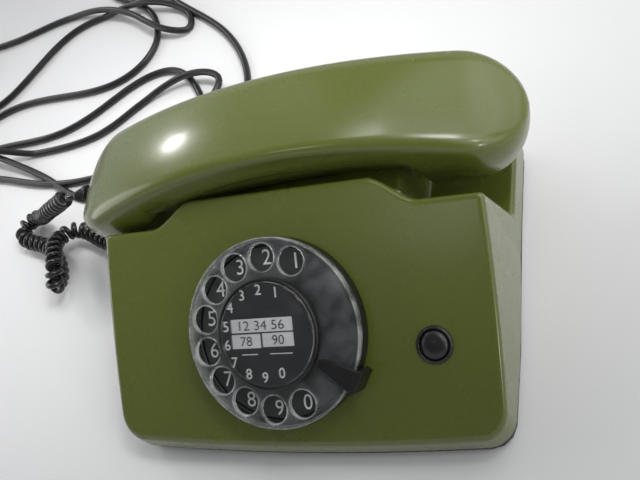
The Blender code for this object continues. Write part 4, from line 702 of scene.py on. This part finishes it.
def surface(field, low, high, step):
    """Points and quads on the zero of the field, open at the lowest layer."""
    counts = [int(math.ceil((b - a) / step)) + 1 for a, b in zip(low, high)]
    axes = [a + step * np.arange(n) for a, n in zip(low, counts)]
    value = np.empty(counts)
    for i in range(counts[0]):
        grid = np.stack(np.meshgrid(axes[0][i:i + 1], axes[1], axes[2], indexing="ij"), -1)
        value[i] = field(grid)[0]
    inside = value < 0
    nx, ny, nz = counts
    corners = [(i, j, k) for i in (0, 1) for j in (0, 1) for k in (0, 1)]
    total = sum(inside[i:nx - 1 + i, j:ny - 1 + j, k:nz - 1 + k].astype(int) for i, j, k in corners)
    cells = np.argwhere((total > 0) & (total < 8))
    index = -np.ones(total.shape, int)
    index[tuple(cells.T)] = np.arange(len(cells))
    summed = np.zeros((len(cells), 3))
    number = np.zeros(len(cells))
    for a in corners:
        for axis in range(3):
            if a[axis]:
                continue
            b = list(a)
            b[axis] = 1
            va = value[tuple((cells + a).T)]
            vb = value[tuple((cells + b).T)]
            crosses = (va < 0) != (vb < 0)
            t = np.where(crosses, va / np.where(crosses, va - vb, 1), 0)
            point = np.array(a) + t[:, None] * (np.array(b) - np.array(a))
            summed += np.where(crosses[:, None], point, 0)
            number += crosses
    points = np.array(low) + step * (cells + summed / number[:, None])
    rim = cells[:, 2] == 0
    points[rim, 2] = low[2] + step / 2
    quads = []
    for axis in range(3):
        u, v = (axis + 1) % 3, (axis + 2) % 3
        first = [slice(None)] * 3
        second = [slice(None)] * 3
        first[axis], second[axis] = slice(0, -1), slice(1, None)
        one, two = inside[tuple(first)], inside[tuple(second)]
        at = np.argwhere(one != two)
        at = at[(at[:, u] > 0) & (at[:, v] > 0) & (at[:, u] < counts[u] - 1) & (at[:, v] < counts[v] - 1)]
        flip = one[tuple(at.T)]
        ids = []
        for du, dv in ((1, 1), (0, 1), (0, 0), (1, 0)):
            cell = at.copy()
            cell[:, u] -= du
            cell[:, v] -= dv
            ids.append(index[tuple(cell.T)])
        quad = np.stack(ids, 1)
        quad[~flip] = quad[~flip][:, ::-1]
        quads.append(quad)
    for _ in range(5):
        push = slope_of(field, points)
        gap = field(points) / np.maximum((push ** 2).sum(1), 0.2)
        move = push * np.clip(gap, -step / 2, step / 2)[:, None]
        move[rim, 2] = 0
        points -= move
    return points, np.concatenate(quads)


# The box that the housing is meshed in
X0, X1 = ORIGIN_X - 102, ORIGIN_X + 102
Y0, Y1 = ORIGIN_Y - 85, ORIGIN_Y + 82.5


def outer_field(p):
    return housing(p, inset=0.0, edge=2.2, ridge=2.6, hollow=2.0)


def inner_field(p):
    return housing(p, inset=WALL, edge=0.6, ridge=0.6, hollow=2.5)


# The grid's step outside and inside
FINE, ROUGH = 1.5, 3.0
outer_points, outer_quads = surface(outer_field, (X0, Y0, RIM - FINE / 2), (X1, Y1, 80), FINE)
inner_points, inner_quads = surface(inner_field, (X0, Y0, RIM - ROUGH / 2), (X1, Y1, 78), ROUGH)
bm = bmesh.new()
outer_verts = [bm.verts.new(p * MM) for p in outer_points]
inner_verts = [bm.verts.new(p * MM) for p in inner_points]
for quad in outer_quads:
    bm.faces.new([outer_verts[i] for i in quad])
for quad in inner_quads:
    bm.faces.new([inner_verts[i] for i in quad[::-1]])
bmesh.ops.triangle_fill(bm, use_beauty=True, edges=[e for e in bm.edges if e.is_boundary])
bmesh.ops.recalc_face_normals(bm, faces=bm.faces)
mesh = bpy.data.meshes.new("housing_shell")
bm.to_mesh(mesh)
bm.free()
mesh.materials.append(GREEN)
shell = linked("housing_shell", mesh)


def rod(name, radius, low, high, axes, steps=64):
    return turned(name, [(0, low), (radius, low), (radius, high), (0, high)], GREEN, axes, steps)


FLAT = Matrix.Identity(3)
cut(shell, rod("c1", 36.1, -12, 8, DIAL_AXES), rod("c2", 7.9, -12, 8, BUTTON_AXES, 40),
    rod("c3", 3.6, 50, 68, (here(-25, 50, 0), FLAT), 32), rod("c4", 3.6, 50, 68, (here(25, 50, 0), FLAT), 32),
    rod("c5", 3.9, -12, 6, GLAND_AXES, 32),
    rod("c6", 3.9, -12, 6, LINE_GLAND_AXES, 32))


def shade_by(obj, field):
    """Normals from the field where a corner lies on its zero, so flat faces stay flat and edges stay round."""
    mesh = obj.data
    mesh.shade_smooth()
    points = np.empty(len(mesh.vertices) * 3)
    mesh.vertices.foreach_get("co", points)
    points = points.reshape(-1, 3) / MM
    near = np.abs(field(points)) < ON_SURFACE
    push = slope_of(field, points)
    push /= np.maximum(np.linalg.norm(push, axis=1), 1e-6)[:, None]
    face_of = np.repeat(np.arange(len(mesh.polygons)), [p.loop_total for p in mesh.polygons])
    facing = np.array([tuple(p.normal) for p in mesh.polygons])[face_of]
    corner = np.empty(len(mesh.loops), int)
    mesh.loops.foreach_get("vertex_index", corner)
    good = near[corner] & ((push[corner] * facing).sum(1) > 0.6)
    normals = np.where(good[:, None], push[corner], facing)
    mesh.normals_split_custom_set([tuple(n) for n in normals])


shade_by(shell, outer_field)


# Handset
GRIP, CAP, TOP, TOP_ARCH, TAPER = 26.5, 30.0, 98.5, 0.0020, 6.0
SEAM, SEAM_ARCH, UNDER, UNDER_ARCH, CAP_BOTTOM = 81.5, 0.0036, 64.0, 0.00112, 42.0
CAP_START, CAP_END, NOSE_START, NOSE_RISE, NOSE_POWER, NOSE_Z, SHELL = 66.0, 74.0, 90.0, 2.5, 1.9, 59.0, 2.3
# How far from the middle the handset widens, and how the upper front edge's round grows on the way to an end
WIDE_AT, FRONT_EDGE, GROWTH, GROWN_AT = 98.0, 2, 0.8, 110
ROUNDS = (3.0, 9.0, 5.0, 12.0, 4.2, 4.6, 5.0, 3.0, 2.2, 2.0)


def handset_ring(x, wall, arc=5):
    """The handset's outline across x, drawn in by wall, its corners rounded."""
    width = GRIP + (CAP - GRIP) * min(1.0, abs(x) / WIDE_AT) ** 2
    top = TOP - TOP_ARCH * x * x
    drop = float(smooth((abs(x) - CAP_START - wall) / (CAP_END - CAP_START)))
    low = (UNDER - UNDER_ARCH * x * x) * (1 - drop) + CAP_BOTTOM * drop
    half = HALF_LENGTH - wall
    front = -width + TAPER
    shape = [(front, low + 3), (-width, (low + top) / 2), (-width, top - 1.3), (-0.1 * width, top),
        (width - 9, top - 2.0), (width - 3, top - 5), (width - 0.5, top - 10), (width - 2, low + 3), (width - 5, low),
        (front + 3, low)]
    middle, tall = (low + top) / 2, top - low
    nose = 1.0
    if abs(x) > NOSE_START:
        nose = max(0.0, 1 - ((abs(x) - NOSE_START) / (half - NOSE_START)) ** NOSE_RISE) ** (1 / NOSE_POWER)
    shape = np.array([(y * (width - wall) / width, middle + (z - middle) * (tall - 2 * wall) / tall) for y, z in shape])
    ring = []
    for i, point in enumerate(shape):
        before, after = shape[i - 1] - point, shape[(i + 1) % len(shape)] - point
        la, lb = np.linalg.norm(before), np.linalg.norm(after)
        grown = 1 + GROWTH * (min(abs(x), GROWN_AT) / GROWN_AT) ** 2 if i == FRONT_EDGE else 1
        r = min(ROUNDS[i] * grown, 0.48 * la, 0.48 * lb)
        a, b = point + before / la * r, point + after / lb * r
        for k in range(arc + 1):
            t = k / arc
            ring.append((1 - t) ** 2 * a + 2 * t * (1 - t) * point + t * t * b)
    ring = np.array(ring)
    return np.column_stack([np.full(len(ring), x), ring[:, 0] * nose, NOSE_Z + (ring[:, 1] - NOSE_Z) * nose])


def handset_solid(name, wall, look, fine=True):
    """The handset as one solid drawn in by wall, with more rings where its outline turns."""
    half = HALF_LENGTH - wall
    count = 1 if fine else 2
    stations = list(np.linspace(0, CAP_START + wall - 2, 16 // count))
    stations += list(np.linspace(CAP_START + wall, CAP_END + wall, 14 // count))
    stations += list(np.linspace(CAP_END + wall + 3, NOSE_START - 2, 8 // count))
    bend = np.linspace(0, math.pi / 2, 22 // count)
    stations += list(NOSE_START + (half - NOSE_START) * np.sin(bend)[:-1])
    stations.append(half - 0.01)
    line = [-s for s in reversed(stations[1:])] + stations
    rings = [handset_ring(x, wall) for x in line]
    return mesh_object(name, np.concatenate(rings), ring_faces(len(rings), len(rings[0])), look, HANDSET_AXES, 70.0)


def below_seam(name, shift):
    """A block that fills the room under the seam, for the cut between the two shells."""
    reach, floor = 126, 20.0
    line = np.linspace(-reach, reach, 81)
    top = [(x, SEAM - SEAM_ARCH * x * x + shift) for x in line]
    outline = top + [(reach, floor), (-reach, floor)]
    verts = [(x, -60, z) for x, z in outline] + [(x, 60, z) for x, z in outline]
    return mesh_object(name, verts, ring_faces(2, len(outline)), GREEN, HANDSET_AXES)


def grille(name, side):
    """The holes over a capsule."""
    pieces = []
    for i, (x, y) in enumerate([(0.0, 0.0)] + circle(6.0, 6) + circle(11.0, 12)):
        place = on_handset(side * 90 + x, y, 0)
        pieces.append(turned(f"{name}{i}", [(0, 36), (1.15, 36), (1.15, 46.4), (0, 46.4)], GREEN, (place, FLAT), 16))
    return joined(name, pieces)


def shade_like(obj, shape):
    """Normals of a cut piece, read from the shape that it was cut from."""
    tree = BVHTree.FromPolygons([v.co for v in shape.vertices], [tuple(p.vertices) for p in shape.polygons])
    found = []
    for vert in obj.data.vertices:
        place, _, face, gap = tree.find_nearest(vert.co)
        if gap > ON_SURFACE * MM:
            found.append(None)
            continue
        ids = shape.polygons[face].vertices
        shares = poly_3d_calc([shape.vertices[i].co for i in ids], place)
        found.append(sum((shape.vertices[i].normal * share for i, share in zip(ids, shares)), Vector()).normalized())
    normals = []
    for polygon in obj.data.polygons:
        for i in polygon.vertices:
            near = found[i] is not None and found[i].dot(polygon.normal) > 0.7
            normals.append(tuple(found[i] if near else polygon.normal))
    obj.data.shade_smooth()
    obj.data.normals_split_custom_set(normals)


upper = handset_solid("handset_top", 0.0, GREEN)
whole = upper.data.copy()
cut(upper, below_seam("seam_a", 0.3), handset_solid("hollow_a", SHELL, GREEN, False))
lower = handset_solid("handset_under", 0.0, GREEN_LOWER_SHADED)
cut(lower, below_seam("seam_b", -0.3), operation="INTERSECT")
cut(lower, handset_solid("hollow_b", SHELL, GREEN_LOWER_SHADED, False), grille("g1", -1), grille("g2", 1),
    rod("h1", 3.3, 50, 65.2, (on_handset(-40, 0, 0), FLAT), 32),
    rod("h2", 3.3, 50, 65.2, (on_handset(40, 0, 0), FLAT), 32))
shade_like(upper, whole)
shade_like(lower, whole)

# Dial. The last line has the heights of the card and of what is printed on it.
WHEEL_RADIUS, HOLE_RADIUS, HOLE_CIRCLE, FIRST_HOLE, HOLE_STEP = 43.5, 6.3, 34.5, 66.7, 25
HOLE_EDGE, WHEEL_EDGE, WINDOW_EDGE = 6.95, 42.9, 23.4
CARD_TOP, DIGIT_LOW, RULE_TOP, FIELD_TOP, INK_LOW = 13.9, 13.93, 13.95, 13.96, 13.99
HOLES = [polar(HOLE_CIRCLE, FIRST_HOLE + HOLE_STEP * i) for i in range(10)]
DIGITS = "1234567890"


def look_of_edges(obj, is_edge):
    """Gives the rim look, a whiter and hazier clear plastic that paints the edges' highlights, to the faces where
    is_edge(x, y) holds in the dial's plane.
    """
    obj.data.materials.append(RIM_HIGHLIGHT_LOOK)
    for face in obj.data.polygons:
        x, y, _ = TILT.transposed() @ (face.center / MM - Vector(DIAL_AXES[0]))
        if is_edge(x, y):
            face.material_index = 1


dial_cup = turned("dial_cup", [(42.7, 6.8), (43.15, 6.65), (43.3, 6.3), (43.3, 0.8), (43.0, 0.4), (42.6, GAP),
    (35.5, GAP), (35.5, -3.5), (33, -3.5), (33, 2), (3.3, 2), (3.3, 4), (39.8, 4), (39.8, 6.5), (40.1, 6.8)], BLACK,
    DIAL_AXES, 128)
ring = turned("digit_ring", [(39.3, 5.6), (39.5, 5.4), (39.5, 4.3), (22, 4.3), (22, 5.4), (22.2, 5.6)], GREY,
    DIAL_AXES, 128)
ring_digits = written("ring_digits", [(digit, x, y, 7.0, 0.0, 5.62) for digit, (x, y) in zip(DIGITS, HOLES)], PRINT,
    DIAL_AXES)
disc = rounded_plate("wheel_disc", [circle(WHEEL_RADIUS, 160)] + [circle(HOLE_RADIUS, 48, at)
    for at in HOLES] + [circle(3.3, 40)], 8.9, 11.5, 0.7, WHEEL, DIAL_AXES, 4)
skirt = turned("wheel_skirt", [(WHEEL_RADIUS, 9.6), (WHEEL_RADIUS, 7.7), (43.3, 7.45), (43.0, 7.4), (42.5, 7.4),
    (42.25, 7.6), (42.2, 8.0), (42.2, 9.6)], WHEEL, DIAL_AXES, 160)
hub = turned("wheel_hub", [(10, 9.4), (10, 6.0), (9.8, 5.7), (3.5, 5.7), (3.3, 6), (3.3, 9.4)], WHEEL, DIAL_AXES, 64)
wheel = joined("clear_wheel_piece", [disc, skirt, hub])
holder = turned("card_holder", [(0, 13.2), (24.3, 13.2), (24.3, 15.2), (24.5, 15.4), (25.1, 15.35), (25.5, 15.0),
    (25.6, 14.6), (25.6, 12.1), (25.3, 11.8), (0, 11.8)], BLACK, DIAL_AXES, 128)
card = turned("card_disc", [(0, CARD_TOP), (23.7, CARD_TOP), (23.8, 13.8), (23.8, 13.5), (0, 13.5)], CARD,
    DIAL_AXES, 96)
window = turned("card_window", [(0, 16.2), (21.8, 16.15), (22.8, 15.9), (23.5, 15.4), (23.8, 14.8), (23.8, 14.2),
    (0, 14.2)], WINDOW, DIAL_AXES, 128)
look_of_edges(window, lambda x, y: math.hypot(x, y) > WINDOW_EDGE)
look_of_edges(wheel, lambda x, y: math.hypot(x, y) > WHEEL_EDGE or min(math.hypot(x - hx, y - hy)
    for hx, hy in HOLES) < HOLE_EDGE)
CARD_PLACES = [(6.1, 18.6), (-2.6, 20.3), (-11.2, 18.2), (-18.0, 13.0), (-21.1, 4.4), (-21.1, -4.0), (-18.2, -12.0),
    (-11.3, -17.4), (-3.0, -19.2), (5.6, -17.4)]
card_digits = written("card_digits", [(digit, x, y, 4.7, 0.0, DIGIT_LOW)
    for digit, (x, y) in zip(DIGITS, CARD_PLACES)], PRINT, DIAL_AXES)
FIELDS = [(-18.2, 13.1, 1.25, 7.4), (-18.4, -3.6, -5.9, 0.45), (-2.6, 13.1, -5.6, 0.6)]
fields = joined("card_fields", [rounded_plate(f"field{i}", [oblong(x0, x1, y0, y1, 0.3, 2)], CARD_TOP, FIELD_TOP,
    0.02, FIELD, DIAL_AXES, 1) for i, (x0, x1, y0, y1) in enumerate(FIELDS)])
numbers = written("field_numbers", [("12 34 56", -2.6, 4.3, 4.3, 23.0, INK_LOW),
    ("78", -11.0, -2.7, 4.3, 6.0, INK_LOW), ("90", 5.3, -2.5, 4.3, 6.0, INK_LOW)], INK, DIAL_AXES)
rules = joined("card_rules", [rounded_plate(f"rule{i}", [oblong(x0, x1, -8.9, -8.5, 0.15, 2)], CARD_TOP, RULE_TOP,
    0.02, PRINT, DIAL_AXES, 1) for i, (x0, x1) in enumerate(((-13.9, -5.6), (0.6, 11.9)))])
lugs = joined("window_lugs",
    [turned(f"lug{i}", [(0, 16.3), (1.2, 16.1), (1.9, 15.5), (2.0, 14.8), (2.0, 12.2), (0, 12.2)], WINDOW,
    beside(DIAL_AXES, x, y), 32) for i, (x, y) in enumerate(((24.6, 0.3), (-24.6, -0.6)))])
STOP_AXES = (DIAL_AXES[0], TILT @ Matrix.Rotation(math.radians(-30), 3, "Z"))
stop_blade = rounded_plate("stop_blade", [[(27.2, -1.6), (28.0, -2.2), (47.0, -5.6), (47.5, -5.0), (47.5, 5.0),
    (47.0, 5.6), (28.0, 2.2), (27.2, 1.6)]], 12.1, 13.6, 0.35, BLACK, STOP_AXES)
stop_leg = rounded_plate("stop_leg", [[(44.5, -5.2), (47.0, -5.2), (47.3, -4.6), (47.3, 4.6), (47.0, 5.2),
    (44.5, 5.2)]], GAP, 13.0, 0.3, BLACK, STOP_AXES)
stop = joined("stop_hook", [stop_blade, stop_leg])

# Push-button
bezel = turned("button_ring", [(6.75, 1.0), (6.85, 1.3), (7.05, 1.45), (7.35, 1.4), (7.8, 1.15), (8.15, 0.8),
    (8.3, GAP), (7.6, GAP), (7.6, -12), (6.75, -12)], BUTTON_BLACK, BUTTON_AXES, 64)
cap = turned("button_dome", [(0, 3.2), (1.0, 3.17), (2.0, 3.08), (3.0, 2.92), (4.0, 2.65), (4.9, 2.28), (5.6, 1.85),
    (6.15, 1.3), (6.4, 0.8), (6.5, 0.2), (6.5, -5), (2.2, -5), (2.2, -14), (0, -14)], BUTTON_BLACK, BUTTON_AXES)

# What each piece rides on and the CAD nodes that it replaces. The holder, the card, the window and what is on them stay
# with the telephone here, though the record has them on the dial. This is a known fault.
for piece, body, *replaced in ((shell, "telephone", "housing_cover"), (upper, "handset", "handset_upper_shell"),
        (lower, "handset", "handset_lower_shell"), (dial_cup, "telephone", "dial_base"),
        (ring, "telephone", "number_ring"), (wheel, "dial", "finger_wheel"), (holder, "telephone", "label_holder"),
        (card, "telephone", "label_card"), (window, "telephone", "label_window"), (stop, "telephone", "finger_stop"),
        (bezel, "telephone", "button_bezel"), (cap, "push_button", "earth_button"),
        (boot, "handset", "handset_cord_boot"), (gland, "telephone", "handset_cord_gland"),
        (line_gland, "telephone", "line_cord_gland"), (line_cord, "telephone", "line_cord", "line_cord_coil"),
        (tie, "telephone", "line_cord_tie"), (plug, "telephone", "line_plug")):
    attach(piece, body)
    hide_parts(*replaced)
for piece in (card_digits, fields, numbers, rules, lugs, ring_digits):
    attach(piece, "telephone")

# Cords
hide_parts("handset_cord")
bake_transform(curly_cord)

# Floor and light
floor_look, tree, shader = tree_of("pale_table")
tree.links.new(mix(tree, noise(tree, 4.0), (0.85, 0.85, 0.855), (0.88, 0.88, 0.885)), shader.inputs["Base Color"])
tree.links.new(ramp(tree, noise(tree, 9.0), 0.42, 0.5), shader.inputs["Roughness"])
reach = 4000
mesh_object("table", [(-reach, -reach, 0), (reach, -reach, 0), (reach, reach, 0), (-reach, reach, 0)],
    [(0, 1, 2, 3)], floor_look)

backdrop_look, tree, shader = tree_of("pale_backdrop")
tree.links.new(mix(tree, noise(tree, 2.0), (0.74, 0.75, 0.76), (0.80, 0.80, 0.81)), shader.inputs["Base Color"])
tree.links.new(ramp(tree, noise(tree, 3.0), 0.32, 0.36), shader.inputs["Emission Strength"])
shader.inputs["Emission Color"].default_value = (0.97, 0.98, 1.0, 1)
# A round wall with a hollow foot: (radius, height) from the foot's start to the top
FOOT, BEND, WALL_TOP, AROUND = 2800, 400, 1400, 96
rise = [(FOOT + BEND * math.sin(math.radians(a)), BEND - BEND * math.cos(math.radians(a))) for a in range(0, 91, 15)]
rise.append((FOOT + BEND, WALL_TOP))
rings = [(*polar(r, 360 / AROUND * i), z + 0.5) for r, z in rise for i in range(AROUND)]
mesh_object("backdrop", rings, ring_faces(len(rise), AROUND, False), backdrop_look)

world = bpy.data.worlds.new("studio")
bpy.context.scene.world = world
world.use_nodes = True
world.node_tree.nodes["Background"].inputs["Color"].default_value = (0.95, 0.97, 1.0, 1)
world.node_tree.nodes["Background"].inputs["Strength"].default_value = 0.14
BRIGHTNESS, AIM_HEIGHT, SPOT_ANGLE, NEAR, SPOT_REACH, SPOT_SIZE = 1.06, 0.04, 32, 0.65, 0.8, 0.12


def lamp(name, kind, reach, azimuth, elevation, power, size, aim=(0, 0)):
    """A light at a distance, azimuth and elevation from the telephone."""
    light = bpy.data.lights.new(name, kind)
    light.energy = power * BRIGHTNESS
    if kind == "AREA":
        light.shape = "DISK"
        light.size = size
    else:
        light.shadow_soft_size = size
        light.spot_size = math.radians(SPOT_ANGLE)
        light.spot_blend = 1.0
    flat, up = polar(reach, elevation)
    obj = linked(name, light)
    obj.location = Vector((*polar(flat, azimuth), AIM_HEIGHT + up))
    obj.rotation_euler = (Vector((*aim, AIM_HEIGHT)) - obj.location).to_track_quat("-Z", "Y").to_euler()


for name, azimuth, elevation, power, size in (("left", 180, 20, 0.66, 0.4), ("back_right", 45, 45, 0.74, 0.6),
        ("right", 0, 45, 0.54, 0.5), ("back_left", 135, 45, 0.27, 0.6), ("low_back", 45, 20, 0.21, 0.4),
        ("low_right", 0, 20, 0.18, 0.3), ("back", 90, 45, 0.08, 0.5)):
    lamp(name, "AREA", NEAR, azimuth, elevation, power, size)
for name, azimuth, elevation, power, aim in (("sky_one", 30, 60, 8.4, (0.08, 0.15)),
        ("sky_two", 30, 60, 10.0, (-0.13, 0.1)), ("sky_three", 90, 65, 6.5, (-0.13, 0.1)),
        ("sky_four", 30, 60, 1.0, (0.0, 0.08)), ("sky_five", -120, 65, 1.4, (-0.05, 0.17))):
    lamp(name, "SPOT", SPOT_REACH, azimuth, elevation, power, SPOT_SIZE, aim)
lamp("window", "AREA", 1.6, 145, 27.5, 2.2, 0.15)
lamp("small_lamp", "AREA", 0.9, -4, 40, 0.34, 0.055)
lamp("side_strip", "AREA", 1.0, -26, 22, 0.6, 0.065)

bpy.context.scene.view_settings.view_transform = "Standard"

bpy.context.view_layer.update()
